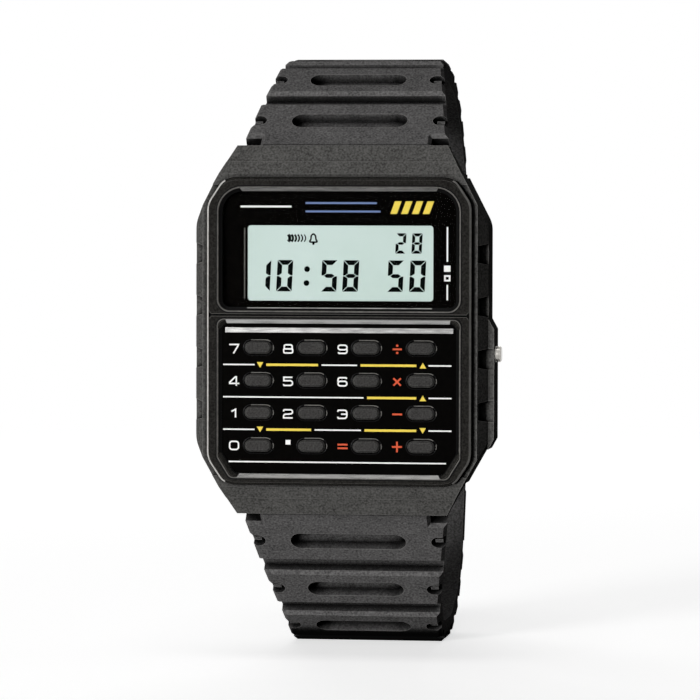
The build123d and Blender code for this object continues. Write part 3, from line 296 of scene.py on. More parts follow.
SLOT_MATERIALS = {
    "case_resin": resin_case, "bezel_resin": resin_bezel, "lens_glass": lens_clear,
    "panel_black": panel_gloss, "screen_mint": screen, "reflector_foil": foil,
    "strip_silver": strip_silver, "key_rubber": key_grey, "membrane_rubber": membrane_grey,
    "zebra_rubber": zebra_stripe, "board_green": board_green, "chip_black": chip_black,
    "can_steel": can_steel, "ceramic": ceramic, "frame_plastic": frame_plastic,
    "contact_brass": brass, "clear_film": film, "back_steel": back_steel,
    "screw_steel": screw_steel, "seal_rubber": rubber_dark, "chrome": chrome,
    "spring_steel": spring_steel, "strap_resin": resin_strap, "buckle_steel": buckle_steel,
}


def dress(node, material):
    """Puts a material on every slot of a CAD node."""
    obj = frame["nodes"][node]
    if not obj.material_slots:
        obj.data.materials.append(material)
    for entry in obj.material_slots:
        entry.material = material


for part in frame["record"]["subparts"]:
    dress(part["node"], SLOT_MATERIALS[part["material_slot"]])
dress("display_mask", mask_black)


# Flat pieces on the face, in (x, height) in mm, seen from the front. A shape is an outline, or a Band: a
# line with a width, given by its two edges. A print or trim is as thick as SKIN.
Band = namedtuple("Band", "left right closed")
SKIN = 0.012
STAGGER = 0.001
ARC_STEPS = 4
DOT_SIDES = 20
SAME_PLACE = 1e-9
MITRE_LIMIT = 0.5


def at(x, depth, height):
    """A point of the case, from mm, in metres."""
    return Vector((x * MM, (FRONT + depth) * MM, (CENTRE + height) * MM))


def piece(name, bm, material, body="case"):
    """A mesh piece that rides on a body, with its material."""
    mesh = bpy.data.meshes.new(name)
    bmesh.ops.recalc_face_normals(bm, faces=bm.faces)
    bm.to_mesh(mesh)
    bm.free()
    obj = bpy.data.objects.new(name, mesh)
    bpy.context.scene.collection.objects.link(obj)
    mesh.materials.append(material)
    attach(obj, body)
    return obj


def add_band(bm, band, place, thickness):
    """A flat band with its front, back, sides and ends."""
    left, left_back, right, right_back = (
        [bm.verts.new(place(x, z, deeper)) for x, z in edge]
        for edge in (band.left, band.right) for deeper in (0, thickness)
    )
    count = len(left)
    for k in range(count if band.closed else count - 1):
        j = (k + 1) % count
        for a, b in ((left, right), (right, right_back), (right_back, left_back), (left_back, left)):
            bm.faces.new((a[k], b[k], b[j], a[j]))
    if not band.closed:
        for k in (0, count - 1):
            bm.faces.new((left[k], right[k], right_back[k], left_back[k]))


def add_plate(bm, outline, place, thickness):
    """A flat plate with its front, back and sides."""
    near, far = ([bm.verts.new(place(x, z, deeper)) for x, z in outline] for deeper in (0, thickness))
    for triangle in tessellate_polygon([[Vector((x, z, 0)) for x, z in outline]]):
        bm.faces.new([near[k] for k in triangle])
        bm.faces.new([far[k] for k in reversed(triangle)])
    count = len(outline)
    for k in range(count):
        j = (k + 1) % count
        bm.faces.new((near[k], near[j], far[j], far[k]))


def plates(name, shapes, front, material, thickness=SKIN):
    """One piece of flat shapes. The front is a depth, or a rule that gives it from the height.

    Every second shape stands a little proud, so that two that cross don't share a face."""
    bm = bmesh.new()
    for k, shape in enumerate(shapes):
        def place(x, z, deeper, proud=k % 2 * STAGGER):
            return at(x, (front(z) if callable(front) else front) - proud + deeper, z)

        add = add_band if isinstance(shape, Band) else add_plate
        add(bm, shape, place, thickness)
    return piece(name, bm, material)


def bar(x0, x1, z0, z1, lean=0.0):
    """A rectangle whose top is moved sideways by lean."""
    return [(x0, z0), (x1, z0), (x1 + lean, z1), (x0 + lean, z1)]


def rule(x0, x1, z, width):
    """A level line of the given width about the height z."""
    return bar(x0, x1, z - width / 2, z + width / 2)


def disc(x, z, radius, sides=DOT_SIDES):
    """A round dot."""
    turns = [2 * math.pi * k / sides for k in range(sides)]
    return [(x + radius * math.cos(t), z + radius * math.sin(t)) for t in turns]


def rounded(points, radius, closed=False, steps=ARC_STEPS):
    """A run of points with its corners turned into arcs, of one radius or of one for each corner."""
    count = len(points)
    out = []
    for k, point in enumerate(points):
        here = Vector(point)
        wanted = radius[k] if isinstance(radius, list) else radius
        if not wanted or (not closed and k in (0, count - 1)):
            out.append(here)
            continue
        before, after = Vector(points[k - 1]) - here, Vector(points[(k + 1) % count]) - here
        half_turn = (math.pi - before.angle(after)) / 2
        reach = min(wanted * math.tan(half_turn), before.length / 2, after.length / 2)
        first, last = here + before.normalized() * reach, here + after.normalized() * reach
        pull = math.cos(half_turn)
        for step in range(steps + 1):
            t = step / steps
            weights = ((1 - t) ** 2, 2 * pull * t * (1 - t), t ** 2)
            out.append((first * weights[0] + here * weights[1] + last * weights[2]) / sum(weights))
    return out


def stroke(points, width, radius=0.0, closed=False):
    """A line of the given width through the points."""
    run = rounded(points, radius, closed)
    count = len(run)
    left, right = [], []
    for k, here in enumerate(run):
        before = run[k - 1] if closed or k else here
        after = run[(k + 1) % count] if closed or k < count - 1 else here
        ways = [way.normalized() for way in (here - before, after - here) if way.length > SAME_PLACE]
        along = sum(ways, Vector((0, 0))).normalized()
        across = Vector((-along.y, along.x))
        mitre = abs(across.dot(Vector((-ways[0].y, ways[0].x))))
        reach = width / 2 / max(mitre, MITRE_LIMIT)
        left.append(tuple(here + across * reach))
        right.append(tuple(here - across * reach))
    return Band(left, right, closed)


# The screen: the cell's front sheet, wider than the mask's opening, and the digits and signs on it
SHEET_THICKNESS = 0.008
SHEET_GAP = 0.002
SHEET_FRONT = CELL_FRONT - SHEET_THICKNESS - SHEET_GAP
SCREEN_PRINT_FRONT = SHEET_FRONT - SHEET_THICKNESS
SHEET_HALF, SHEET_FOOT, SHEET_TOP = 11.4, 3.25, 12.5


def screen_piece(name, shapes, front, material):
    """A piece of the screen, as thin as its sheet."""
    plates(name, shapes, front, material, thickness=SHEET_THICKNESS)


screen_piece("lcd_front_sheet", [bar(-SHEET_HALF, SHEET_HALF, SHEET_FOOT, SHEET_TOP)], SHEET_FRONT, screen)

# Digits of seven bars with mitred ends
SEGMENTS = {
    "0": "abcdef", "1": "bc", "2": "abged", "3": "abgcd", "4": "fgbc",
    "5": "afgcd", "6": "afgedc", "7": "abc", "8": "abcdefg", "9": "abcdfg",
}
DigitSize = namedtuple("DigitSize", "width height bar_width gap lean")
TIME_SIZE = DigitSize(1.84, 3.66, 0.56, 0.05, 0.052)
DATE_SIZE = DigitSize(1.2, 2.36, 0.36, 0.045, 0.052)
MIDDLE_SHARE = 0.42
TIME_FOOT, DATE_FOOT = 4.55, 9.01
TIME_DIGITS = (("1", -10.15), ("0", -7.56), ("5", -2.3), ("8", 0.23), ("5", 5.5), ("0", 8.08))
DATE_DIGITS = (("2", 6.46), ("8", 8.36))
COLON_DOTS, COLON_RADIUS = ((-3.9, 7.16), (-3.97, 5.53)), 0.34


def screen_digit(which, x, z, size):
    """The lit bars of one digit, with its lower left corner at x, z."""
    wide, high, thick, gap, lean = size
    middle, half = high / 2, thick * MIDDLE_SHARE
    left, right = thick + gap, wide - thick - gap
    forms = {
        "a": [(gap, high), (left, high - thick), (right, high - thick), (wide - gap, high)],
        "b": [(wide, high - gap), (wide - thick, high - thick - gap), (wide - thick, middle + half + gap),
              (wide - half, middle + gap), (wide, middle + gap)],
        "c": [(wide, gap), (wide, middle - gap), (wide - half, middle - gap),
              (wide - thick, middle - half - gap), (wide - thick, thick + gap)],
        "d": [(gap, 0), (wide - gap, 0), (right, thick), (left, thick)],
        "e": [(0, gap), (thick, thick + gap), (thick, middle - half - gap), (half, middle - gap),
              (0, middle - gap)],
        "f": [(0, high - gap), (0, middle + gap), (half, middle + gap), (thick, middle + half + gap),
              (thick, high - thick - gap)],
        "g": [(gap + half, middle), (left, middle - half), (right, middle - half),
              (wide - gap - half, middle), (right, middle + half), (left, middle + half)],
    }
    return [[(x + a + lean * b, z + b) for a, b in forms[key]] for key in SEGMENTS[which]]


time_shapes = [form for which, x in TIME_DIGITS for form in screen_digit(which, x, TIME_FOOT, TIME_SIZE)]
time_shapes += [disc(x, z, COLON_RADIUS) for x, z in COLON_DOTS]
screen_piece("lcd_time", time_shapes, SCREEN_PRINT_FRONT, ink_lcd)

date_shapes = [form for which, x in DATE_DIGITS for form in screen_digit(which, x, DATE_FOOT, DATE_SIZE)]
screen_piece("lcd_date", date_shapes, SCREEN_PRINT_FRONT, ink_lcd)

# The alarm's signs: sound arcs that grow thinner, and a bell with its clapper
SOUND_WIDTHS = (0.36, 0.27, 0.22, 0.19, 0.16, 0.13)
SOUND_START, SOUND_STEP = -6.02, 0.375
SOUND_ARC, SOUND_ROUND = ((-0.1, 10.35), (0.07, 10.62), (0.07, 10.92), (-0.1, 11.19)), 0.3
BELL_X, BELL_TOP = -3.16, (0, 11.32)
BELL_SIDE = ((0.26, 11.04), (0.3, 10.6), (0.52, 10.31))
BELL_WIDTH, BELL_ROUND = 0.19, 0.14
CLAPPER_Z, CLAPPER_RADIUS, CLAPPER_SIDES = 10.12, 0.15, 10

alarm_signs = []
for k, width in enumerate(SOUND_WIDTHS):
    arc = [(SOUND_START + SOUND_STEP * k + x, z) for x, z in SOUND_ARC]
    alarm_signs.append(stroke(arc, width, SOUND_ROUND))
bell = [(-x, z) for x, z in reversed(BELL_SIDE)] + [BELL_TOP, *BELL_SIDE]
alarm_signs.append(stroke([(BELL_X + x, z) for x, z in bell], BELL_WIDTH, BELL_ROUND, closed=True))
alarm_signs.append(disc(BELL_X, CLAPPER_Z, CLAPPER_RADIUS, CLAPPER_SIDES))
screen_piece("lcd_signs", alarm_signs, SCREEN_PRINT_FRONT, ink_lcd)


# Prints on the black mask behind the lens: plain rules, leaning bars and squares, and a dim line that is a
# painted reflection
MASK_PRINT_FRONT = MASK_FRONT - SKIN
MASK_RULE = 0.22
BLUE_RULES = ((-4.07, 4.3, 14.87), (-4.07, 4.74, 13.89))
YELLOW_X, YELLOW_STEP, YELLOW_WIDTH, YELLOW_LEAN, YELLOW_COUNT = 5.89, 1.27, 0.78, 0.55, 4
YELLOW_FOOT, YELLOW_TOP = 13.62, 15.1
WHITE_RULE = (-11.75, -5.73, 14.45)
SIDE_RULE_X, SIDE_RULE_WIDTH, SIDE_RULES = 12.5, 0.18, ((3.62, 5.4), (8.08, 12.12))
SQUARE_X, SQUARE_Z, SQUARE_WIDTH, SQUARE_HEIGHT = 12.2, 6.92, 0.76, 0.72
BOX_X, BOX_Z, BOX_WIDTH, BOX_HEIGHT, BOX_LINE = 12.31, 5.9, 0.55, 0.53, 0.2
REFLECTION_LINE = (-11.33, -11.2, 3.7, 11.95)


def mask_piece(name, shapes, material):
    """A print, or a line of painted reflection, on the mask."""
    plates(name, shapes, MASK_PRINT_FRONT, material)


mask_piece("mask_rules_blue", [rule(x0, x1, z, MASK_RULE) for x0, x1, z in BLUE_RULES], ink_blue)
yellow_bars = []
for k in range(YELLOW_COUNT):
    x = YELLOW_X + YELLOW_STEP * k
    yellow_bars.append(bar(x, x + YELLOW_WIDTH, YELLOW_FOOT, YELLOW_TOP, YELLOW_LEAN))
mask_piece("mask_bars_yellow", yellow_bars, ink_yellow)
# A painted reflection: a dim line by the left edge of the screen's opening
mask_piece("mask_reflection_line", [bar(*REFLECTION_LINE)], rim_line)

box_outline = bar(BOX_X, BOX_X + BOX_WIDTH, BOX_Z, BOX_Z + BOX_HEIGHT)
white_marks = [
    rule(*WHITE_RULE, MASK_RULE),
    bar(SQUARE_X, SQUARE_X + SQUARE_WIDTH, SQUARE_Z, SQUARE_Z + SQUARE_HEIGHT),
    stroke(box_outline, BOX_LINE, closed=True),
]
white_marks += [bar(SIDE_RULE_X, SIDE_RULE_X + SIDE_RULE_WIDTH, z0, z1) for z0, z1 in SIDE_RULES]
mask_piece("mask_marks_white", white_marks, ink_white)


# Prints on the keypad panel. Its digits are wide square strokes, whose points are shares of a digit's
# size. A corner is round unless its point carries a radius of its own, in mm.
PANEL_PRINT_FRONT = PANEL_FRONT - SKIN
DIGIT_WIDTH, DIGIT_HEIGHT, DIGIT_STROKE, DIGIT_ROUND = 1.22, 1.12, 0.17, 0.3
GLYPHS = {
    "0": [([(0, 0), (1, 0), (1, 1), (0, 1)], True)],
    "1": [([(0.2, 0.74, 0), (0.66, 1, 0), (0.66, 0, 0)], False)],
    "2": [([(0, 0.78), (0, 1), (1, 1), (1, 0.5), (0, 0.44), (0, 0, 0), (1.02, 0)], False)],
    "3": [([(0, 0.8), (0, 1), (1, 1), (1, 0), (0, 0), (0, 0.2)], False),
          ([(0.35, 0.52), (1, 0.52)], False)],
    "4": [([(0.74, -0.1), (0.74, 1, 0), (0.62, 1, 0), (0, 0.34, 0), (0, 0.2, 0), (1.08, 0.2)], False)],
    "5": [([(0.98, 1), (0.02, 1, 0), (0.02, 0.58, 0), (1, 0.58), (1, 0), (0, 0), (0, 0.16)], False)],
    "6": [([(0, 0), (1, 0), (1, 0.56), (0, 0.56)], True),
          ([(0, 0.5), (0, 1), (0.94, 1), (0.94, 0.84)], False)],
    "7": [([(-0.06, 1), (0.98, 1, 0), (0.9, 0.78, 0), (0.42, -0.1)], False)],
    "8": [([(0, 0, 0.16), (1, 0, 0.16), (1, 0.5, 0.1), (0, 0.5, 0.1)], True),
          ([(0.06, 0.5, 0.1), (0.94, 0.5, 0.1), (0.94, 1, 0.16), (0.06, 1, 0.16)], True)],
    "9": [([(0, 0.44), (1, 0.44), (1, 1), (0, 1)], True),
          ([(1, 0.5), (1, 0), (0.06, 0), (0.06, 0.16)], False)],
}
DIGIT_COLUMNS = (-12.96, -6.58, -0.18)
DIGIT_ROWS = ((-2.7, "789"), (-6.49, "456"), (-10.28, "123"), (-14.03, "0"))
POINT_SIGN = (-6.26, -5.68, -13.31, -12.77)


def panel_piece(name, shapes, material):
    """A print on the keypad panel."""
    plates(name, shapes, PANEL_PRINT_FRONT, material)


def printed_digit(which, x, z):
    """The strokes of a digit with its lower left corner at x, z."""
    wide, high = DIGIT_WIDTH - DIGIT_STROKE, DIGIT_HEIGHT - DIGIT_STROKE
    strokes = []
    for points, closed in GLYPHS[which]:
        placed = [(x + DIGIT_STROKE / 2 + wide * p[0], z + DIGIT_STROKE / 2 + high * p[1]) for p in points]
        radii = [p[2] if len(p) > 2 else DIGIT_ROUND for p in points]
        strokes.append(stroke(placed, DIGIT_STROKE, radii, closed))
    return strokes


key_digits = []
for z, names in DIGIT_ROWS:
    for x, which in zip(DIGIT_COLUMNS, names):
        key_digits += printed_digit(which, x, z)
key_digits.append(bar(*POINT_SIGN))
panel_piece("keypad_digits", key_digits, ink_white)

# White rules across the panel, each as its height and its stretches
RULE_WIDTH = 0.16
RULES = {
    -4.0: ((-13.67, -9.94), (-2.03, 2.14), (10.52, 13.2)),
    -7.78: ((-13.66, 2.91), (10.53, 13.21)),
    -11.57: ((-13.66, -9.93), (-2.84, 2.61), (10.54, 13.22)),
    -15.35: ((-13.0, 12.6),),
}
white_rules = [rule(x0, x1, z, RULE_WIDTH) for z, stretches in RULES.items() for x0, x1 in stretches]
panel_piece("keypad_rules", white_rules, ink_white)

# Red signs: divide, multiply, minus, plus and equals
SIGN_WIDTH, SIGN_DOT, MULTIPLY_REACH = 0.2, 0.14, 0.43
DIVIDE = ((6.31, 7.39, -2.1), ((6.85, -1.68), (6.85, -2.53)))
MULTIPLY_X, MULTIPLY_Z = 6.85, -5.9
LEVEL_SIGNS = ((6.3, 7.44, -9.67), (6.25, 7.44, -13.46))
PLUS_UPRIGHT = (6.75, 6.95, -14.08, -12.84)
EQUALS = ((-0.13, 1.05, -13.68), (-0.13, 1.05, -13.25))

red_signs = [rule(*DIVIDE[0], SIGN_WIDTH)] + [disc(x, z, SIGN_DOT) for x, z in DIVIDE[1]]
for rise in (MULTIPLY_REACH, -MULTIPLY_REACH):
    left_end = (MULTIPLY_X - MULTIPLY_REACH, MULTIPLY_Z - rise)
    right_end = (MULTIPLY_X + MULTIPLY_REACH, MULTIPLY_Z + rise)
    red_signs.append(stroke([left_end, right_end], SIGN_WIDTH))
red_signs += [rule(*sign, SIGN_WIDTH) for sign in LEVEL_SIGNS]
red_signs.append(bar(*PLUS_UPRIGHT))
red_signs += [rule(*sign, SIGN_WIDTH) for sign in EQUALS]
panel_piece("keypad_signs", red_signs, ink_red)

# Yellow arrows, as their place and whether they point up, and yellow bars beside them
ARROW_HALF, ARROW_TIP = 0.38, 0.33
ARROWS = ((-9.28, -4.03, False), (9.86, -3.98, True), (9.86, -7.78, True), (-9.28, -11.57, False),
          (9.86, -11.57, False))
BAR_WIDTH = 0.28
YELLOW_RULES = ((-8.55, -2.45, -4.0), (2.56, 9.1, -4.0), (3.33, 9.1, -7.78), (-8.55, -3.26, -11.57),
                (3.03, 9.1, -11.57))


def arrow(x, z, up):
    """A small triangle about x, z that points up or down."""
    tip = ARROW_TIP if up else -ARROW_TIP
    return [(x - ARROW_HALF, z - tip), (x + ARROW_HALF, z - tip), (x, z + tip)]


yellow_marks = [arrow(*place) for place in ARROWS] + [rule(*stretch, BAR_WIDTH) for stretch in YELLOW_RULES]
panel_piece("keypad_marks_yellow", yellow_marks, ink_yellow)


# Trims round the two windows. An outline is wider by grow on every side, and a section is given as
# (grow, depth) points.
WINDOW_HALF = 13.75
DISPLAY_TOP, DISPLAY_FOOT, DISPLAY_ROUND_TOP, DISPLAY_ROUND_FOOT = 16.22, 2.72, 2.4, 0.9
KEYPAD_TOP, KEYPAD_FOOT, KEYPAD_ROUND, KEYPAD_CUT_X, KEYPAD_CUT_Z = 0.8, -16.7, 0.8, 1.5, 2.4
LOOP_STEPS = 8


def display_loop(grow):
    """The outline of the display window."""
    half, top, foot = WINDOW_HALF + grow, DISPLAY_TOP + grow, DISPLAY_FOOT - grow
    radii = [DISPLAY_ROUND_TOP + grow] * 2 + [DISPLAY_ROUND_FOOT + grow] * 2
    return rounded([(half, top), (-half, top), (-half, foot), (half, foot)], radii, True, LOOP_STEPS)


def keypad_loop(grow):
    """The outline of the keypad window, with its lower corners cut."""
    half, top, foot = WINDOW_HALF + grow, KEYPAD_TOP + grow, KEYPAD_FOOT - grow
    left = [(-half, top), (-half, foot + KEYPAD_CUT_Z), (KEYPAD_CUT_X - half, foot)]
    right = [(-x, z) for x, z in reversed(left)]
    return rounded(left + right, KEYPAD_ROUND, True, LOOP_STEPS)


def add_rows(bm, rows, closed=True):
    """The faces between rows of points that go round a section."""
    count = len(rows[0])
    for row, after in zip(rows, rows[1:] + rows[:1]):
        for k in range(count if closed else count - 1):
            j = (k + 1) % count
            bm.faces.new((row[k], row[j], after[j], after[k]))


def trim(name, loop_of, profile, material, closed=True):
    """A thin trim along an outline."""
    bm = bmesh.new()
    rows = [[bm.verts.new(at(x, depth, z)) for x, z in loop_of(grow)] for grow, depth in profile]
    add_rows(bm, rows, closed)
    if not closed:
        for k in (0, -1):
            bm.faces.new([row[k] for row in rows])
    return piece(name, bm, material)


# Black rims over the bezel's slopes and down to the lens and the panel, each with a pale line of painted
# highlight on its crest
LIP_WIDTH, LIP_DEPTH = 0.5, 0.4
RIM_OUT, CREST_OUT, CREST_IN = 0.7, 0.56, 0.4
CREST_LOW = LIP_DEPTH * (1 - CREST_IN / LIP_WIDTH)
CREST_PROFILE = (
    (CREST_OUT, -2 * SKIN), (LIP_WIDTH, -2 * SKIN), (CREST_IN, CREST_LOW - 2 * SKIN),
    (CREST_IN, CREST_LOW - SKIN), (LIP_WIDTH, -SKIN), (CREST_OUT, -SKIN),
)


def rim_profile(floor_depth):
    """The section of a rim: a flat edge, the slope and the wall down to a depth."""
    seen = ((RIM_OUT, -SKIN), (LIP_WIDTH, -SKIN), (-SKIN, LIP_DEPTH - SKIN), (-SKIN, floor_depth))
    return seen + ((0, floor_depth), (0, LIP_DEPTH), (LIP_WIDTH, 0), (RIM_OUT, 0))


for window, loop_of, floor_depth in (
    ("display", display_loop, LENS_FRONT),
    ("keypad", keypad_loop, PANEL_FRONT),
):
    trim(window + "_rim", loop_of, rim_profile(floor_depth), rim_black)
    trim(window + "_rim_line", loop_of, CREST_PROFILE, rim_line)

# Painted highlights: pale lines on the bevel of the bezel's long sides, the left one brighter
BEZEL_HALF = (bezel_high.x - bezel_low.x) / 2 / MM
BEZEL_RISE = (bezel_high.z - bezel_low.z) / 2 / MM
BEZEL_CUT_X, BEZEL_CUT_Z, BEZEL_ROUND, BEVEL = 2.0, 3.0, 2.8, 0.25
LINE_OUT, LINE_IN = 0.04, 0.02
LINE_PROFILE = (
    (-LINE_OUT, BEVEL - LINE_OUT - SKIN), (LINE_IN - BEVEL, LINE_IN - SKIN),
    (LINE_IN - BEVEL, LINE_IN), (-LINE_OUT, BEVEL - LINE_OUT),
)


def bezel_side(side):
    """The outline of one long side of the bezel with its cut corners, as a rule of grow."""
    corners = [(BEZEL_HALF - BEZEL_CUT_X, BEZEL_RISE), (BEZEL_HALF, BEZEL_RISE - BEZEL_CUT_Z)]
    corners += [(x, -z) for x, z in reversed(corners)]
    inner = BEZEL_HALF - 2 * BEZEL_CUT_X
    run = [(inner, BEZEL_RISE), *corners, (inner, -BEZEL_RISE)]
    skip = LOOP_STEPS // 2 + 1
    path = rounded(run, BEZEL_ROUND, steps=LOOP_STEPS)[skip:-skip]

    def loop(grow):
        moved = []
        for k, here in enumerate(path):
            along = (path[min(k + 1, len(path) - 1)] - path[max(k - 1, 0)]).normalized()
            out = here + Vector((-along.y, along.x)) * grow
            moved.append((side * out.x, BEZEL_CENTRE + out.y))
        return moved

    return loop


trim("bezel_highlight_left", bezel_side(-1), LINE_PROFILE, line_bright, closed=False)
trim("bezel_highlight_right", bezel_side(1), LINE_PROFILE, line_soft, closed=False)

# Painted highlights on the windows' slopes, over the rims: thin metal bands, a brighter one over the keypad
LIP_START, LIP_END, THIN_END = 0.06, 0.94, 0.26


def lip(name, edge, outward, x0, x1, end_share, slant, material):
    """A thin metal band of painted highlight on a window's slope, up to a share of the slope."""
    z0, z1 = (edge + outward * LIP_WIDTH * share for share in (LIP_START, end_share))

    def slope(z):
        return LIP_DEPTH * (1 - abs(z - edge) / LIP_WIDTH) - 3 * SKIN

    outline = [(x0, z0), (x1, z0), (x1 + slant, z1), (x0 - slant, z1)]
    plates(name, [outline], slope, material)


lip("keypad_lip_upper", KEYPAD_TOP, 1, -13.2, 13.0, LIP_END, 0.1, lip_highlight_bright)
lip("keypad_lip_lower", KEYPAD_FOOT, -1, -11.7, 11.7, LIP_END, 0.25, lip_highlight_dim)
lip("display_lip_upper", DISPLAY_TOP, 1, -11.4, 11.4, LIP_END, 0.3, lip_highlight_dim)
lip("display_lip_lower", DISPLAY_FOOT, -1, -10.8, 10.9, THIN_END, 0.0, lip_highlight_dim)


# Half-round collars in the panel, round the keys
KEY_COLUMNS = (-9.47, -3.16, 3.25, 9.69)
KEY_ROWS = (-2.0, -5.82, -9.59, -13.45)
KEY_WIDTH, KEY_HEIGHT = 3.15, 1.4
COLLAR_OUT, COLLAR_HALF, COLLAR_RISE = 0.2, 0.1, 0.08
KEY_END_STEPS, COLLAR_STEPS = 10, 5


def collar_loop(x, z, grow):
    """The outline of a key, wider by grow."""
    radius, straight = KEY_HEIGHT / 2, (KEY_WIDTH - KEY_HEIGHT) / 2
    loop = []
    for side, start in ((1, -90), (-1, 90)):
        for step in range(KEY_END_STEPS + 1):
            turn = math.radians(start + 180 * step / KEY_END_STEPS)
            way = Vector((math.cos(turn), math.sin(turn)))
            loop.append(Vector((x + side * straight, z)) + way * (radius + grow))
    return loop


bm = bmesh.new()
for z in KEY_ROWS:
    for x in KEY_COLUMNS:
        rows = []
        for step in range(COLLAR_STEPS + 1):
            turn = math.pi * step / COLLAR_STEPS
            grow = COLLAR_OUT - COLLAR_HALF * math.cos(turn)
            depth = PANEL_FRONT + SKIN - (COLLAR_RISE + SKIN) * math.sin(turn)
            rows.append([bm.verts.new(at(p.x, depth, p.y)) for p in collar_loop(x, z, grow)])
        add_rows(bm, rows)
collars = piece("key_collars", bm, collar_gloss)
for face in collars.data.polygons:
    face.use_smooth = True

# Painted glints on the collars' crests: a long one over each key and a short one at its right end
GLINT_WIDTH = 0.11
OVER_KEY, OVER_KEY_REACH, END_REACH = 0.72, 0.9, 0.3

collar_glints = []
for z in KEY_ROWS:
    for x in KEY_COLUMNS:
        loop = collar_loop(x, z, COLLAR_OUT)
        over_key = [p for p in loop if p.y > z + OVER_KEY and p.x > x - OVER_KEY_REACH]
        at_end = [p for p in loop if abs(p.y - z) < END_REACH and p.x > x]
        collar_glints += [stroke(over_key, GLINT_WIDTH), stroke(at_end, GLINT_WIDTH)]
plates("key_collar_glints", collar_glints, PANEL_FRONT - COLLAR_RISE - SKIN / 2, rim_line)


# Camera at the photograph's angle, to the 3 o'clock side and a little above, through a long lens. From
# here on distances are in metres, apart from the sensor, the lens and the points that at() gives.
VIEW_DISTANCE = 0.52
VIEW_AZIMUTH, VIEW_ELEVATION, VIEW_ROLL = (math.radians(angle) for angle in (8.0, 2.0, 0.12))
VIEW_TARGET = at(1.38, 0, -2.2)
SENSOR_MM, LENS_MM = 36.0, 230.0
CLIP_START, CLIP_END = 0.01, 20.0

camera_data = bpy.data.cameras.new("photo_camera")
camera_data.sensor_width = SENSOR_MM
camera_data.lens = LENS_MM
camera_data.clip_start, camera_data.clip_end = CLIP_START, CLIP_END
camera = bpy.data.objects.new("photo_camera", camera_data)
bpy.context.scene.collection.objects.link(camera)
bpy.context.scene.camera = camera
back = Vector((
    math.sin(VIEW_AZIMUTH) * math.cos(VIEW_ELEVATION),
    -math.cos(VIEW_AZIMUTH) * math.cos(VIEW_ELEVATION),
    math.sin(VIEW_ELEVATION),
))
camera.location = VIEW_TARGET + back * VIEW_DISTANCE
camera.rotation_mode = "QUATERNION"
camera.rotation_quaternion = Quaternion(back, VIEW_ROLL) @ (-back).to_track_quat("-Z", "Y")


# Pale floor that turns white far away. It looks paler than it lights the watch, and keeps its shadow.
FLOOR_REACH = 3.0
FLOOR_ROUGHNESS = 0.9
FLOOR_LIFT = 0.64
FLOOR_SEEN, FLOOR_LIGHT = 0.98, 0.2
FLOOR_NEAR, FLOOR_FAR = 0.14, 0.5
WORLD_LEVEL = 0.04


def seen_plainly(tree):
    """1 for rays of the camera and for what metal and glass show, 0 for light on surfaces."""
    rays = tree.nodes.new("ShaderNodeLightPath").outputs
    shown = combined(tree, "MAXIMUM", rays["Is Camera Ray"], rays["Is Glossy Ray"])
    return combined(tree, "MAXIMUM", shown, rays["Is Transmission Ray"])


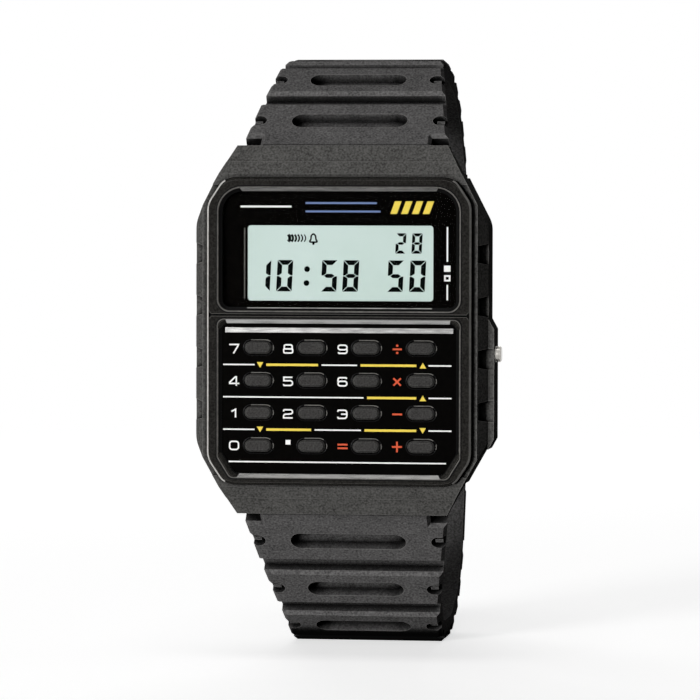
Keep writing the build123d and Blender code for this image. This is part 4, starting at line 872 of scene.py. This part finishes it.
def floor_white():
    """The floor's material: a pale surface with a lift near the watch, and plain white far from it."""
    material, tree, shader, output = node_tree("floor_white")
    seen = seen_plainly(tree)
    tree.links.new(spread(tree, seen, FLOOR_LIGHT, FLOOR_SEEN, 0.0, 1.0), shader.inputs["Base Color"])
    shader.inputs["Roughness"].default_value = FLOOR_ROUGHNESS
    shader.inputs["Specular IOR Level"].default_value = 0.0
    glow = tree.nodes.new("ShaderNodeEmission")
    tree.links.new(spread(tree, seen, 0.0, FLOOR_LIFT, 0.0, 1.0), glow.inputs["Strength"])
    near = tree.nodes.new("ShaderNodeAddShader")
    tree.links.new(shader.outputs["BSDF"], near.inputs[0])
    tree.links.new(glow.outputs["Emission"], near.inputs[1])

    place = tree.nodes.new("ShaderNodeTexCoord")
    length = tree.nodes.new("ShaderNodeVectorMath")
    length.operation = "LENGTH"
    tree.links.new(place.outputs["Object"], length.inputs[0])
    fade = tree.nodes.new("ShaderNodeMapRange")
    fade.interpolation_type = "SMOOTHSTEP"
    fade.inputs["From Min"].default_value = FLOOR_NEAR
    fade.inputs["From Max"].default_value = FLOOR_FAR
    tree.links.new(length.outputs["Value"], fade.inputs["Value"])

    far = tree.nodes.new("ShaderNodeEmission")
    whole = tree.nodes.new("ShaderNodeMixShader")
    tree.links.new(combined(tree, "MULTIPLY", fade.outputs["Result"], seen), whole.inputs["Fac"])
    tree.links.new(near.outputs["Shader"], whole.inputs[1])
    tree.links.new(far.outputs["Emission"], whole.inputs[2])
    tree.links.new(whole.outputs["Shader"], output.inputs["Surface"])
    return material


floor_mesh = bpy.data.meshes.new("floor")
floor_corners = [(x * FLOOR_REACH, y * FLOOR_REACH, 0) for x, y in ((-1, -1), (1, -1), (1, 1), (-1, 1))]
floor_mesh.from_pydata(floor_corners, [], [(0, 1, 2, 3)])
floor_mesh.materials.append(floor_white())
floor = bpy.data.objects.new("floor", floor_mesh)
bpy.context.scene.collection.objects.link(floor)

# A dim white world, seen as plain white
world = bpy.data.worlds.new("studio")
bpy.context.scene.world = world
world.use_nodes = True
world.node_tree.nodes.clear()
sky = world.node_tree.nodes.new("ShaderNodeBackground")
sky.inputs["Color"].default_value = (1, 1, 1, 1)
sky_level = spread(world.node_tree, seen_plainly(world.node_tree), WORLD_LEVEL, 1.0, 0.0, 1.0)
world.node_tree.links.new(sky_level, sky.inputs["Strength"])
world_output = world.node_tree.nodes.new("ShaderNodeOutputWorld")
world.node_tree.links.new(sky.outputs["Background"], world_output.inputs["Surface"])

# Soft lamps aimed at the case. The front one stands left of where the glossy panel would mirror it.
Lamp = namedtuple("Lamp", "name place width height power")
LAMPS = (
    Lamp("lamp_front", (-0.43, -0.88, 0.07), 0.26, 0.14, 11.0),
    Lamp("lamp_top", (0.0, -0.25, 0.88), 0.5, 0.4, 1.0),
    Lamp("lamp_back", (-0.2, 0.75, 0.5), 0.6, 0.4, 2.0),
)
for lamp in LAMPS:
    data = bpy.data.lights.new(lamp.name, "AREA")
    data.shape = "RECTANGLE"
    data.size, data.size_y = lamp.width, lamp.height
    data.energy = lamp.power
    obj = bpy.data.objects.new(lamp.name, data)
    bpy.context.scene.collection.objects.link(obj)
    obj.location = lamp.place
    obj.rotation_mode = "QUATERNION"
    obj.rotation_quaternion = (Vector(lamp.place) - at(0, 0, 0)).to_track_quat("Z", "Y")

bpy.context.scene.view_settings.view_transform = "Standard"
